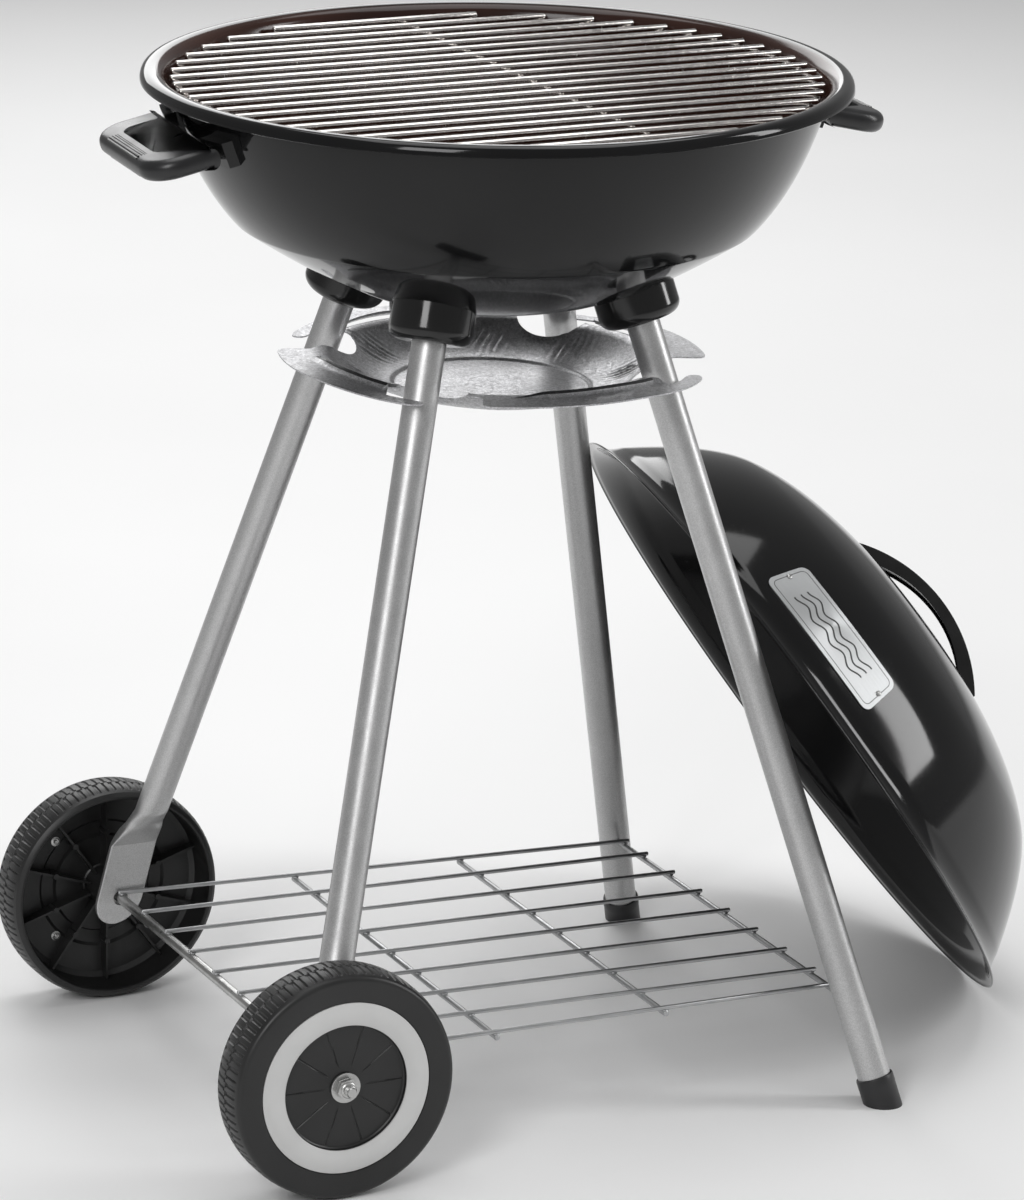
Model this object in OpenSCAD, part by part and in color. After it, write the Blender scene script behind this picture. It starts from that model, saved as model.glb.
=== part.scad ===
// Kettle charcoal grill on a four-leg trolley, with its lid leaned against the legs.
// Millimetres. +Z is up, the floor is z = 0, the two wheels are on the -X side.

/* [Bowl] */
// Outer radius of the bowl's turned-out rim
rim_r = 231; // [229:0.5:232]
// Height of the top of the rim above the floor
rim_z = 674; // [672:1:680]
// Thickness of the pressed steel bowl
bowl_t = 1.2; // [0.8:0.1:1.6]
// Number of air holes in the bowl's floor
air_holes = 4; // [3:1:5]

/* [Grates] */
// Distance between neighbouring wires of the cooking grate
grate_pitch = 20.5; // [18:0.5:24]
// Wire diameter of the cooking grate
grate_wire_d = 4.5; // [3:0.5:5]
// Radius of the cooking grate's ring wire
grate_r = 207; // [204:0.5:207.5]
// Distance between neighbouring wires of the charcoal grate
coal_pitch = 24; // [20:1:30]

/* [Legs and shelf] */
// Outer diameter of the leg tubes
tube_d = 22; // [20:0.5:23]
// Wall thickness of the leg tubes
tube_wall = 1.5; // [1:0.1:2]
// Diameter of the shelf's long wires
shelf_wire_d = 3; // [2.5:0.5:4]
// Distance between neighbouring long wires of the shelf
shelf_pitch = 42.2; // [41:0.1:42.2]

/* [Wheels] */
// Diameter of each wheel
wheel_d = 152; // [148:1:156]
// Width of each wheel
wheel_w = 37; // [34:0.5:37]
// Diameter of the axle rod
axle_d = 7; // [6:0.5:8]

/* [Lid] */
// Outer radius of the lid's rim
lid_r = 233; // [232:0.5:233]
// Height of the lid's dome above its rim
lid_h = 111; // [108:1:116]
// Angle of the lid's own axis above the horizontal as it leans
lid_lean = 34; // [33.5:0.1:34.5]
// Length of the arched handle on the lid, along its chord
lid_handle_l = 134; // [126:1:140]

/* [Ash pan] */
// Outer radius of the ash pan
pan_r = 141; // [138:1:144]
// Height of the ash pan's flange above the floor
pan_z = 484; // [482:1:486]

/* [Hidden] */

// The bowl's axis, measured from the middle of the whole object's footprint
bowl_x = -69.4;
bowl_y = -20.8;

round_fn = 96;   // big round shells
small_fn = 32;   // tubes and small round pieces
clear = 0.3;     // gap between pieces that move past each other
touch = 0.05;    // gap between pieces that are held together

black = [0.08, 0.08, 0.085];
silver = [0.72, 0.73, 0.74];
chrome = [0.8, 0.78, 0.78];
zinc = [0.62, 0.63, 0.64];
pale_grey = [0.82, 0.83, 0.84];

// ---- curves ----

// Point on a quadratic curve from a to c that leaves and arrives towards b
function curve_point(a, b, c, u) = (1 - u) * (1 - u) * a + 2 * u * (1 - u) * b + u * u * c;

// Points of that curve, without its first point
function curve(a, b, c, n) = [for (i = [1 : n]) curve_point(a, b, c, i / n)];

// Unit normal on the left of a path at point i
function left_normal(path, i) =
    let (last = len(path) - 1,
         d = path[min(i + 1, last)] - path[max(i - 1, 0)])
    [-d[1], d[0]] / norm(d);

// A path of radius and height, thickened by t on its left side
function thickened(path, t) = concat(path,
    [for (i = [len(path) - 1 : -1 : 0]) path[i] + t * left_normal(path, i)]);

// Keeps radii from crossing the axis
function clipped(points) = [for (p = points) [max(p[0], 0), p[1]]];

// ---- bowl profile, along its outside from the middle of the floor to the rim's lip ----

floor_z = rim_z - 146.5;
floor_r = 66;
crease = [171, rim_z - 96.5];
wall_top = [rim_r - 16, rim_z - 10];
bowl_path = concat(
    [[0, floor_z], [floor_r, floor_z]],
    curve([floor_r, floor_z], [95, floor_z], crease, 10),
    curve(crease, [199, rim_z - 67], wall_top, 12),
    curve(wall_top, [rim_r - 15, rim_z - bowl_t], [rim_r - 6, rim_z - bowl_t], 5),
    curve([rim_r - 6, rim_z - bowl_t], [rim_r - bowl_t, rim_z - bowl_t],
        [rim_r - bowl_t, rim_z - 7], 5));

// ---- lid profile, along its inside from the crown to the rim, in the lid's own frame ----

lid_t = 1.2;
crown_pull = 111;       // how far the crown stays flat before it curves down
lid_base_r = lid_r - 15;
lid_shoulder = [163, lid_h - 32.5 - lid_t];
lid_path = concat(
    [[0, lid_h - lid_t]],
    curve([0, lid_h - lid_t], [crown_pull, lid_h - lid_t], lid_shoulder, 10),
    curve(lid_shoulder, [187, lid_h - 48.5 - lid_t], [lid_base_r - lid_t, 15], 9),
    curve([lid_base_r - lid_t, 15], [lid_base_r + 3, 5], [lid_r - 5, 1.5], 6),
    curve([lid_r - 5, 1.5], [lid_r - lid_t, 1], [lid_r - lid_t, 0], 4));

// Height of the lid's inside surface at a radius inside the shoulder, by the crown curve
function crown_u(r) =
    let (b = 2 * crown_pull, a = lid_shoulder[0] - b)
    (-b + sqrt(b * b + 4 * a * r)) / (2 * a);
function crown_z(r) = lid_h - lid_t - 32.5 * pow(crown_u(r), 2);
function crown_slope(r) = atan2(65 * crown_u(r),
    2 * crown_pull * (1 - 2 * crown_u(r)) + 2 * lid_shoulder[0] * crown_u(r));

// ---- legs: where each leg's axis meets the floor side and the bowl side ----

axle_x = -193;
axle_z = wheel_d / 2;
leg_end_z = 526;
wheel_leg_low = [axle_x, 174, axle_z];
wheel_leg_high = [-70, 63, 545];
foot_leg_low = [204, 196, 0];
foot_leg_high = [69, 58, 545];
function mirror_y(p, side) = [p[0], side * p[1], p[2]];
function leg_low(foot, side) = mirror_y(foot ? foot_leg_low : wheel_leg_low, side);
function leg_high(foot, side) = mirror_y(foot ? foot_leg_high : wheel_leg_high, side);

// Point on a leg's axis at height z
function leg_at(foot, side, z) =
    let (a = leg_low(foot, side), b = leg_high(foot, side))
    a + (z - a[2]) / (b[2] - a[2]) * (b - a);

// ---- wheels ----

wheel_face = 215;                      // outer face of a wheel, from the middle plane
wheel_back = wheel_face - wheel_w;
hub_face = wheel_face - 3;
tread_t = 6;
trim_r = [42, 57];
clip_r = 48.5;
clip_count = 4;
axle_half = 224;
running_gap = 0.05;

// ---- shelf ----

shelf_z = axle_z + axle_d / 2 + shelf_wire_d / 2 + touch;
cross_wire_d = 4;
function shelf_z_at(x) = shelf_z - shelf_drop * (x - axle_x) / (shelf_end_x - axle_x);
function cross_z_at(x) = shelf_z_at(x) - shelf_wire_d / 2 - cross_wire_d / 2 + touch;
shelf_rows = 9;
shelf_end_x = 184;
shelf_drop = 7.6;      // the shelf slopes down from the axle to the foot legs
shelf_taper = 12;       // how far each outermost long wire runs inwards
cross_xs = [-66, 58, shelf_end_x];

// ---- handles ----

handle_w = 119;
handle_gap_w = 73;
handle_t = 14;
handle_out = 44;       // reach of the grip beyond the reference radius
handle_grip = 16;
handle_corner = 22;
handle_ref = [215, 648.5];
handle_droop = 13;
handle_turn = -3.3;
spacer_l = 7;

// ---- lid placement ----

lid_yaw = -8.4;
lid_at = [250, 41.5, lid_r * cos(lid_lean)];
plate_az = 147;
handle_az = plate_az - 90;
damper_az = plate_az + 180;
damper_at_r = 92;
damper_r = 30;

// ---- placement helpers ----

module at_bowl() translate([bowl_x, bowl_y, 0]) children();

// Stands children's +Z axis on the line from p towards q
module aim(p, q) {
    d = q - p;
    translate(p) rotate([0, acos(d[2] / norm(d)), atan2(d[1], d[0])]) children();
}

module on_leg(foot, side, z) aim(leg_at(foot, side, z), leg_at(foot, side, z + 10)) children();

// The lid's own frame: +Z out through its crown, origin in the plane of its rim
module on_lid() at_bowl() translate(lid_at) rotate([0, 0, lid_yaw])
    rotate([0, 90 - lid_lean, 0]) rotate([0, 0, 90]) children();

// A straight wire between two points
module wire(p, q, d) aim(p, q) cylinder(h = norm(q - p), d = d, $fn = 16);

// A hexagon bar
module hexagon(across, h) cylinder(h = h, d = across / cos(30), $fn = 6);

// Everything inside a bowl a little bigger than the real one
module bowl_volume(grow) rotate_extrude($fn = round_fn)
    polygon(clipped(concat(
        [for (i = [0 : len(bowl_path) - 1]) bowl_path[i] - grow * left_normal(bowl_path, i)],
        [[rim_r - 20, rim_z + 5], [0, rim_z + 5]])));

// Everything under the lid's outside surface, in the lid's frame
module lid_volume(grow) rotate_extrude($fn = round_fn)
    polygon(clipped(concat(
        [for (i = [0 : len(lid_path) - 1])
            lid_path[i] + (lid_t + grow) * left_normal(lid_path, i)],
        [[0, 0]])));

// ---- bowl ----

module air_hole_pattern(r, d, h, count)
    for (i = [0 : count - 1]) rotate([0, 0, 360 / count * i])
        translate([r, 0, -h / 2]) cylinder(h = h, d = d, $fn = small_fn);

module fire_bowl() color(black) at_bowl() difference() {
    rotate_extrude($fn = round_fn) polygon(clipped(thickened(bowl_path, bowl_t)));
    translate([0, 0, floor_z]) air_hole_pattern(38, 20, 12, air_holes);
    translate([0, 0, floor_z - 5]) cylinder(h = 12, r = 3 + touch, $fn = small_fn);
    for (foot = [false, true]) for (side = [-1, 1])
        on_leg(foot, side, leg_end_z) cylinder(h = 60, r = 3 + touch, $fn = small_fn);
    handle_holes();
}

// Bolt holes for both side handles
module handle_holes() for (turn = [0, 180]) on_handle(turn)
    for (side = [-1, 1])
        translate([-60, side * handle_arm_y, -handle_t / 2]) rotate([0, 90, 0])
            cylinder(h = 60, r = 2.5 + touch, $fn = small_fn);

bracket_count = 4;
bracket_top = rim_z - 6 - 1.5 * grate_wire_d - clear;
module grate_brackets() color(black) at_bowl()
    for (i = [0 : bracket_count - 1]) rotate([0, 0, 45 + 90 * i])
        difference() {
            union() {
                translate([grate_r - 9, -8, bracket_top - 1.5]) cube([14, 16, 1.5]);
                translate([grate_r - 9, -8, bracket_top - 14]) cube([1.5, 16, 13]);
            }
            difference() {
                translate([0, 0, 600]) cylinder(h = 80, r = 300, $fn = 24);
                bowl_volume(-bowl_t - touch);
            }
        }

damper_gap = 0.6;
damper_t = 1.2;
module bowl_damper() color(zinc) at_bowl()
    translate([0, 0, floor_z - damper_gap - damper_t]) difference() {
        union() {
            cylinder(h = damper_t, r = 54, $fn = 64);
            rotate([0, 0, 170]) {
                translate([40, -8, 0]) cube([28, 16, damper_t]);
                translate([66, -8, -10]) cube([2, 16, 10 + damper_t]);
            }
        }
        air_hole_pattern(38, 20, 12, air_holes);
        translate([0, 0, -5]) cylinder(h = 12, r = 3 + running_gap, $fn = small_fn);
    }

module bowl_damper_rivet() color(zinc) at_bowl() {
    low = floor_z - damper_gap - damper_t - clear;
    translate([0, 0, low]) cylinder(h = floor_z + bowl_t + touch - low, r = 3, $fn = small_fn);
    translate([0, 0, low - 2.5]) cylinder(h = 2.5, r = 7, $fn = small_fn);
    translate([0, 0, floor_z + bowl_t + touch]) cylinder(h = 2, r = 6, $fn = small_fn);
}

// ---- side handles ----

handle_arm_y = (handle_w + handle_gap_w) / 4;

// A side handle's own frame: +X outwards and drooping, z = 0 on its top face
module on_handle(turn) rotate([0, 0, handle_turn + turn])
    translate([handle_ref[0], 0, handle_ref[1]]) rotate([0, handle_droop, 0]) children();

module rounded_slab(x0, x1, w, r, h) {
    for (x = [x0 + r, x1 - r]) for (y = [-w / 2 + r, w / 2 - r])
        translate([x, y, 0]) cylinder(h = h, r = r, $fn = small_fn);
    translate([x0 + r, -w / 2, 0]) cube([x1 - x0 - 2 * r, w, h]);
    translate([x0, -w / 2 + r, 0]) cube([x1 - x0, w - 2 * r, h]);
}

module side_handle(turn) color(black) at_bowl() difference() {
    on_handle(turn) translate([0, 0, -handle_t]) difference() {
        rounded_slab(-40, handle_out, handle_w, handle_corner, handle_t);
        translate([0, 0, -1])
            rounded_slab(-50, handle_out - handle_grip, handle_gap_w, 8, handle_t + 2);
        for (side = [-1, 1]) translate([-60, side * handle_arm_y, handle_t / 2])
            rotate([0, 90, 0]) cylinder(h = 78, r = 2.5 + touch, $fn = small_fn);
    }
    bowl_volume(spacer_l);
}

module handle_left() side_handle(180);
module handle_right() side_handle(0);

module handle_spacers() color(black) at_bowl() for (turn = [0, 180]) difference() {
    on_handle(turn) for (side = [-1, 1]) translate([-40, side * handle_arm_y, -handle_t / 2])
        difference() {
            translate([0, -13, -8.5]) cube([50, 26, 17]);
            rotate([0, 90, 0]) translate([0, 0, -1])
                cylinder(h = 60, r = 2.5 + touch, $fn = small_fn);
        }
    bowl_volume(touch);
    difference() {
        translate([0, 0, 560]) cylinder(h = 140, r = 320, $fn = 24);
        bowl_volume(spacer_l - touch);
    }
}

module handle_bolts() color(zinc) at_bowl() for (turn = [0, 180]) on_handle(turn)
    for (side = [-1, 1]) translate([-28, side * handle_arm_y, -handle_t / 2])
        rotate([0, 90, 0]) {
            cylinder(h = 44, r = 2.5, $fn = small_fn);
            translate([0, 0, -3]) cylinder(h = 3, r = 5, $fn = small_fn);
        }

// ---- legs and their sockets ----

socket_r = 27.3;
socket_h = 60;
socket_low_z = 515.5;
plug_room = 12;        // depth of the cup's hole for the leg

// A cup around the leg's end, cut to the bowl's shape
module leg_socket(foot, side) color(black) at_bowl() difference() {
    on_leg(foot, side, socket_low_z) union() {
        rotate_extrude($fn = 64) polygon(concat(
            [[tube_d / 2 + touch, 0]],
            [for (i = [0 : 6]) [socket_r - 8 + 8 * sin(15 * i), 8 - 8 * cos(15 * i)]],
            [[socket_r, socket_h], [3 + touch, socket_h], [3 + touch, plug_room],
             [tube_d / 2 + touch, plug_room]]));
    }
    bowl_volume(touch);
}

module socket_wheel_near() leg_socket(false, -1);
module socket_wheel_far() leg_socket(false, 1);
module socket_foot_near() leg_socket(true, -1);
module socket_foot_far() leg_socket(true, 1);

module socket_bolts() color(zinc) at_bowl() for (foot = [false, true]) for (side = [-1, 1])
    on_leg(foot, side, leg_end_z) {
        translate([0, 0, -11]) cylinder(h = 29, r = 3, $fn = small_fn);
        translate([0, 0, 18]) cylinder(h = 5, r = 6, $fn = small_fn);
    }

// The far side of every wheel leg is pressed flat around the axle
flat_w = 33;
flat_t = 4.4;
flat_l = 32;           // from the axle up to where the flat end stops
wedge_half = tube_d / 2 + 1.6;
wedge_top = 60;        // from the axle up to where the tube is fully round

module leg_tube(foot, side, from_z) {
    top = leg_at(foot, side, leg_end_z);
    low = leg_at(foot, side, from_z);
    aim(low, top) difference() {
        cylinder(h = norm(top - low), d = tube_d, $fn = small_fn);
        translate([0, 0, -1])
            cylinder(h = norm(top - low) + 2, d = tube_d - 2 * tube_wall, $fn = small_fn);
    }
}

// How far a wheel leg moves in x and in y for each millimetre that it rises
leg_dx = (wheel_leg_high[0] - wheel_leg_low[0]) / (wheel_leg_high[2] - wheel_leg_low[2]);
leg_dy = (wheel_leg_high[1] - wheel_leg_low[1]) / (wheel_leg_high[2] - wheel_leg_low[2]);

// Side view outline of the flattened end: a round tip that runs up to the tube
module flat_outline() {
    circle(r = flat_w / 2 + 1.5, $fn = small_fn);
    polygon([[-flat_w / 2, 0], [flat_w / 2, 0],
             [flat_w / 2 + flat_l * leg_dx, flat_l], [-flat_w / 2 + flat_l * leg_dx, flat_l]]);
}

// Where the tube turns into the flat end: a wedge that gets wider as it gets thinner
module flat_wedge() intersection() {
    rotate([90, 0, 0]) linear_extrude(80, center = true)
        polygon([[-flat_w / 2 + flat_l * leg_dx, flat_l - 1], [flat_w / 2 + flat_l * leg_dx, flat_l - 1],
                 [wedge_top * leg_dx + wedge_half, wedge_top],
                 [wedge_top * leg_dx - wedge_half, wedge_top]]);
    rotate([90, 0, 90]) linear_extrude(120, center = true)
        polygon([[-flat_t / 2, flat_l - 1], [flat_t / 2, flat_l - 1],
                 [wedge_top * leg_dy + wedge_half, wedge_top],
                 [wedge_top * leg_dy - wedge_half, wedge_top]]);
}

// The near wheel leg, in the bowl's frame
module wheel_leg() color(silver) difference() {
    union() {
        leg_tube(false, -1, axle_z + wedge_top - 2);
        translate([axle_x, -174, axle_z]) mirror([0, 1, 0]) {
            rotate([90, 0, 0]) linear_extrude(flat_t, center = true) flat_outline();
            flat_wedge();
        }
    }
    translate([axle_x, -174, axle_z]) rotate([90, 0, 0])
        cylinder(h = 20, r = 5.3, center = true, $fn = small_fn);
}

module leg_wheel_near() at_bowl() wheel_leg();
module leg_wheel_far() at_bowl() mirror([0, 1, 0]) wheel_leg();

module foot_leg(side) color(silver) at_bowl() difference() {
    leg_tube(true, side, 4);
    translate([shelf_end_x, side * 165, cross_z_at(shelf_end_x)]) rotate([-90 * side, 0, 0])
        cylinder(h = 12, d = cross_wire_d + 0.4, $fn = small_fn);
}

module leg_foot_near() foot_leg(-1);
module leg_foot_far() foot_leg(1);

module leg_plugs() color(zinc) at_bowl() for (foot = [false, true]) for (side = [-1, 1])
    on_leg(foot, side, leg_end_z) translate([0, 0, -14]) difference() {
        cylinder(h = 13.5, r = tube_d / 2 - tube_wall - touch, $fn = small_fn);
        translate([0, 0, -1]) cylinder(h = 16, r = 3 + touch, $fn = small_fn);
    }

cap_r = 12.6;
module foot_cap(side) color(black) at_bowl() intersection() {
    aim(leg_low(true, side), leg_high(true, side)) difference() {
        translate([0, 0, -8]) cylinder(h = 28, r = cap_r, $fn = small_fn);
        low = (4 / (foot_leg_high[2] / norm(foot_leg_high - foot_leg_low)));
        translate([0, 0, low - touch]) cylinder(h = 40, d = tube_d + 2 * touch, $fn = small_fn);
    }
    translate([leg_low(true, side)[0] - 30, leg_low(true, side)[1] - 30, 0]) cube([60, 60, 60]);
}

module foot_cap_near() foot_cap(-1);
module foot_cap_far() foot_cap(1);

// ---- axle and shelf ----

module axle_rod() color(zinc) at_bowl() translate([axle_x, -axle_half, axle_z])
    rotate([-90, 0, 0]) cylinder(h = 2 * axle_half, d = axle_d, $fn = small_fn);

// Both ends of the axle, with +Z pointing outwards
module both_ends() at_bowl() for (side = [-1, 1])
    translate([axle_x, 0, axle_z]) rotate([-90 * side, 0, 0]) children();

module axle_ring(from, h, r) translate([0, 0, from]) difference() {
    cylinder(h = h, r = r, $fn = small_fn);
    translate([0, 0, -1]) cylinder(h = h + 2, r = axle_d / 2 + touch, $fn = small_fn);
}

module axle_nuts() color(zinc) both_ends() translate([0, 0, hub_face + 2]) difference() {
    hexagon(12, 5.5);
    translate([0, 0, -1]) cylinder(h = 8, r = axle_d / 2 + touch, $fn = small_fn);
}
module outer_washers() color(zinc) both_ends() axle_ring(hub_face + clear, 1.5, 10);
module inner_washers() color(zinc) both_ends()
    axle_ring(174 + flat_t / 2 + touch, 1.3, 9);

module bottom_shelf() color(chrome) at_bowl() {
    half = (shelf_rows - 1) / 2 * shelf_pitch;
    for (i = [0 : shelf_rows - 1]) {
        y = i * shelf_pitch - half;
        inwards = i == 0 ? shelf_taper : i == shelf_rows - 1 ? -shelf_taper : 0;
        wire([axle_x - 3, y, shelf_z_at(axle_x - 3)],
             [shelf_end_x + 4, y + inwards, shelf_z_at(shelf_end_x + 4)], shelf_wire_d);
    }
    for (x = cross_xs) {
        reach = half + 3 - shelf_taper * (x - axle_x) / (shelf_end_x - axle_x);
        end = x == shelf_end_x ? leg_at(true, 1, shelf_z_at(x))[1] - 2 : reach;
        wire([x, -end, cross_z_at(x)], [x, end, cross_z_at(x)], cross_wire_d);
    }
}

// ---- wheels ----

rib_count = 10;

module wheel(side) color(black) at_bowl() translate([axle_x, 0, axle_z])
    rotate([-90 * side, 0, 0]) {
        rotate_extrude($fn = round_fn) polygon(concat(
            [[axle_d / 2 + running_gap, wheel_back + clear], [11, wheel_back + clear],
             [13, hub_face - 3], [38, hub_face - 3], [wheel_d / 2 - tread_t - 1, hub_face - 6],
             [wheel_d / 2 - tread_t - 2.5, wheel_back]],
            curve([wheel_d / 2 - 4.5, wheel_back], [wheel_d / 2 - 0.5, wheel_back + 1],
                [wheel_d / 2, wheel_back + 12], 6),
            curve([wheel_d / 2, wheel_face - 12], [wheel_d / 2, wheel_face],
                [wheel_d / 2 - 4, wheel_face], 6),
            [[trim_r[1] + touch, wheel_face], [trim_r[1] + touch, wheel_face - 1.6],
             [trim_r[0] - touch, wheel_face - 1.6], [trim_r[0] - touch, hub_face],
             [axle_d / 2 + running_gap, hub_face]]));
        for (i = [0 : rib_count - 1]) rotate([0, 0, 360 / rib_count * (i + 0.5)])
            translate([11, -1, hub_face - 14]) cube([wheel_d / 2 - tread_t - 10, 2, 11.5]);
    }

module wheel_near() wheel(-1);
module wheel_far() wheel(1);

module trim_ring(side) color(pale_grey) at_bowl() translate([axle_x, 0, axle_z])
    rotate([-90 * side, 0, 0]) translate([0, 0, wheel_face - 1.5]) difference() {
        cylinder(h = 1.5, r = trim_r[1], $fn = round_fn);
        translate([0, 0, -1]) cylinder(h = 4, r = trim_r[0], $fn = round_fn);
    }
module trim_ring_near() trim_ring(-1);
module trim_ring_far() trim_ring(1);

// Spring clips on the back of the wheel's web that hold the trim ring's studs
module trim_clips(side) color(chrome) at_bowl() translate([axle_x, 0, axle_z])
    rotate([-90 * side, 0, 0])
        for (i = [0 : clip_count - 1]) rotate([0, 0, 360 / clip_count * (i + 0.5)])
            translate([clip_r, 0, hub_face - 5.6]) cylinder(h = 1.2, r = 4, $fn = small_fn);
module trim_clips_near() trim_clips(-1);
module trim_clips_far() trim_clips(1);

// ---- grates ----

// Round grate: straight wires lying on a ring wire and on one cross wire inside it
wire_overhang = 5;
module round_grate(ring_r, ring_z, wire_d, pitch, cross_x) {
    rotate_extrude($fn = 72) translate([ring_r, ring_z]) circle(d = wire_d, $fn = 16);
    half_rows = floor((ring_r - 4) / pitch - 0.5);
    top_z = ring_z + wire_d + touch;
    for (i = [-half_rows - 1 : half_rows]) {
        y = (i + 0.5) * pitch;
        reach = sqrt(ring_r * ring_r - y * y) + wire_overhang;
        wire([-reach, y, top_z], [reach, y, top_z], wire_d);
    }
    cross_reach = sqrt(ring_r * ring_r - cross_x * cross_x) - wire_d / 2 - 0.5;
    wire([cross_x, -cross_reach, ring_z], [cross_x, cross_reach, ring_z], wire_d);
}

module cooking_grate() color(chrome) at_bowl()
    round_grate(grate_r, rim_z - 6 - grate_wire_d, grate_wire_d, grate_pitch, 22);

coal_r = 156;
coal_wire_d = 5;
coal_z = rim_z - 99.5;
module charcoal_grate() color(zinc) at_bowl()
    round_grate(coal_r, coal_z, coal_wire_d, coal_pitch, 0);

// ---- ash pan ----

pan_t = 1;
pan_depth = 21;
pan_path = concat([[0, pan_z - pan_depth], [64, pan_z - pan_depth], [66, pan_z - pan_depth + 1.5]],
    curve([66, pan_z - pan_depth + 1.5], [96, pan_z - pan_depth + 8], [104, pan_z - 2], 6),
    curve([104, pan_z - 2], [106, pan_z], [112, pan_z], 3), [[pan_r, pan_z]]);
pan_tilt = 1.2;        // it hangs a little out of level, its wheel side up
slot_turn = 8;        // how far the pan twists between locked and free
pocket_in = 113;
pocket_out = 127.5;
pocket_mid = 3;       // angle from the leg to the middle of its pocket
pocket_deep = 19.5;
pocket_wide = 24;
pocket_side = 9.4;
mouth_start = slot_turn - 6;
mouth_end = slot_turn + 12.5;

// Points on an arc about the middle from angle a to angle b
function arc(r, a, b) = [for (i = [0 : 8]) let (t = a + (b - a) * i / 8) r * [cos(t), sin(t)]];

// Point on the pocket's inner edge, half an ellipse that starts and ends at its outer radius
function pocket_point(t) = pocket_in * [cos(pocket_mid), sin(pocket_mid)]
    - pocket_deep * sin(t) * [cos(pocket_mid), sin(pocket_mid)]
    - pocket_wide * cos(t) * [-sin(pocket_mid), cos(pocket_mid)];

// Twist-lock slot for one leg: a pocket around the leg, a mouth at the edge and a long slit
module pan_slot(az, slit_angle) rotate([0, 0, az]) translate([0, 0, pan_z - 40])
    linear_extrude(60) polygon(concat(
        arc(pocket_in, -slit_angle, -pocket_side),
        [for (i = [1 : 17]) pocket_point(10 * i)],
        arc(pan_r + 5, mouth_end, mouth_start),
        arc(pocket_out, mouth_start, -pocket_side),
        arc(pocket_in + 4, -pocket_side, -slit_angle)));

module ash_pan() color(zinc) at_bowl() translate([0, 0, pan_z]) rotate([0, pan_tilt, 0])
    translate([0, 0, -pan_z]) difference() {
    rotate_extrude($fn = round_fn) polygon(clipped(thickened(pan_path, pan_t)));
    for (foot = [false, true]) for (side = [-1, 1]) {
        p = leg_at(foot, side, pan_z);
        // the slit stops short of the next leg's mouth
        pan_slot(atan2(p[1], p[0]), foot == (side > 0) ? 54 : 68);
    }
}

// ---- lid ----

// A frame that stands on the lid's crown at a radius and azimuth, +Z out of the lid
module on_crown(r, az) rotate([0, 0, az]) translate([r, 0, crown_z(r) + lid_t])
    rotate([0, crown_slope(r), 0]) children();

lid_screw_s = lid_handle_l / 2 - 12;

module lid_shell() color(black) on_lid() difference() {
    rotate_extrude($fn = round_fn) polygon(clipped(thickened(lid_path, lid_t)));
    on_crown(damper_at_r, damper_az) {
        air_hole_pattern(17, 11, 30, 4);
        translate([0, 0, -15]) cylinder(h = 30, r = 2.5 + touch, $fn = small_fn);
    }
    for (side = [-1, 1]) rotate([0, 0, handle_az]) translate([side * lid_screw_s, 0, 0])
        cylinder(h = 150, r = 2.5 + touch, $fn = small_fn);
}

lid_handle_w = 24;
lid_handle_rise = 19.5;
lid_handle_in = 12.6;
// Radius of the arc over a chord of half-length c with height h
function arc_r(c, h) = (c * c + h * h) / (2 * h);
outer_arc_r = arc_r(lid_handle_l / 2, lid_handle_rise + 3);
inner_arc_r = arc_r(lid_handle_l / 2 - 27, lid_handle_in);

module lid_handle() color(black) on_lid() difference() {
    rotate([0, 0, handle_az]) rotate([90, 0, 0]) difference() {
        translate([0, lid_h + lid_handle_rise - outer_arc_r, -lid_handle_w / 2])
            cylinder(h = lid_handle_w, r = outer_arc_r, $fn = 128);
        translate([0, lid_h + lid_handle_in - inner_arc_r, -lid_handle_w])
            cylinder(h = 2 * lid_handle_w, r = inner_arc_r, $fn = 128);
        translate([-200, -200, -lid_handle_w]) cube([400, 200 + lid_h - 10, 2 * lid_handle_w]);
    }
    lid_volume(touch);
    for (side = [-1, 1]) rotate([0, 0, handle_az]) translate([side * lid_screw_s, 0, 80])
        cylinder(h = lid_h - 80 + 6, r = 2.5 + touch, $fn = small_fn);
}

module lid_handle_screws() color(zinc) on_lid() for (side = [-1, 1])
    rotate([0, 0, handle_az]) translate([side * lid_screw_s, 0, lid_h - 9]) {
        cylinder(h = 14, r = 2.5, $fn = small_fn);
        translate([0, 0, -2.5]) cylinder(h = 2.5, r = 6, $fn = small_fn);
    }

plate_span = 30;      // angle that the plate covers around the lid
plate_w = 36;
plate_t = 0.8;
plate_gap = 0.15;
plate_mid_r = 204;
plate_mid_z = 38;
plate_slope = 56;

// A frame at the middle of the plate, +Z out of the lid, +X down its slope
module on_plate() rotate([0, 0, plate_az]) translate([plate_mid_r, 0, plate_mid_z])
    rotate([0, plate_slope, 0]) children();

module name_plate() color(silver) on_lid() intersection() {
    rotate([0, 0, plate_az - plate_span / 2 - 1])
        rotate_extrude(angle = plate_span + 2, $fn = round_fn)
            polygon(concat(
                [for (i = [11 : 19]) lid_path[i] + (lid_t + plate_gap) * left_normal(lid_path, i)],
                [for (i = [19 : -1 : 11])
                    lid_path[i] + (lid_t + plate_gap + plate_t) * left_normal(lid_path, i)]));
    on_plate() translate([0, 0, -40])
        rounded_slab(-plate_w / 2, plate_w / 2, 2 * plate_mid_r * sin(plate_span / 2), 6, 60);
}

module plate_rivets() color(chrome) on_lid() for (side = [-1, 1])
    rotate([0, 0, plate_az + side * (plate_span / 2 - 1.7)])
        translate([plate_mid_r, 0, plate_mid_z]) rotate([0, plate_slope, 0])
            translate([0, 0, 0.4]) cylinder(h = 2.4, r = 2, $fn = small_fn);

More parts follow.
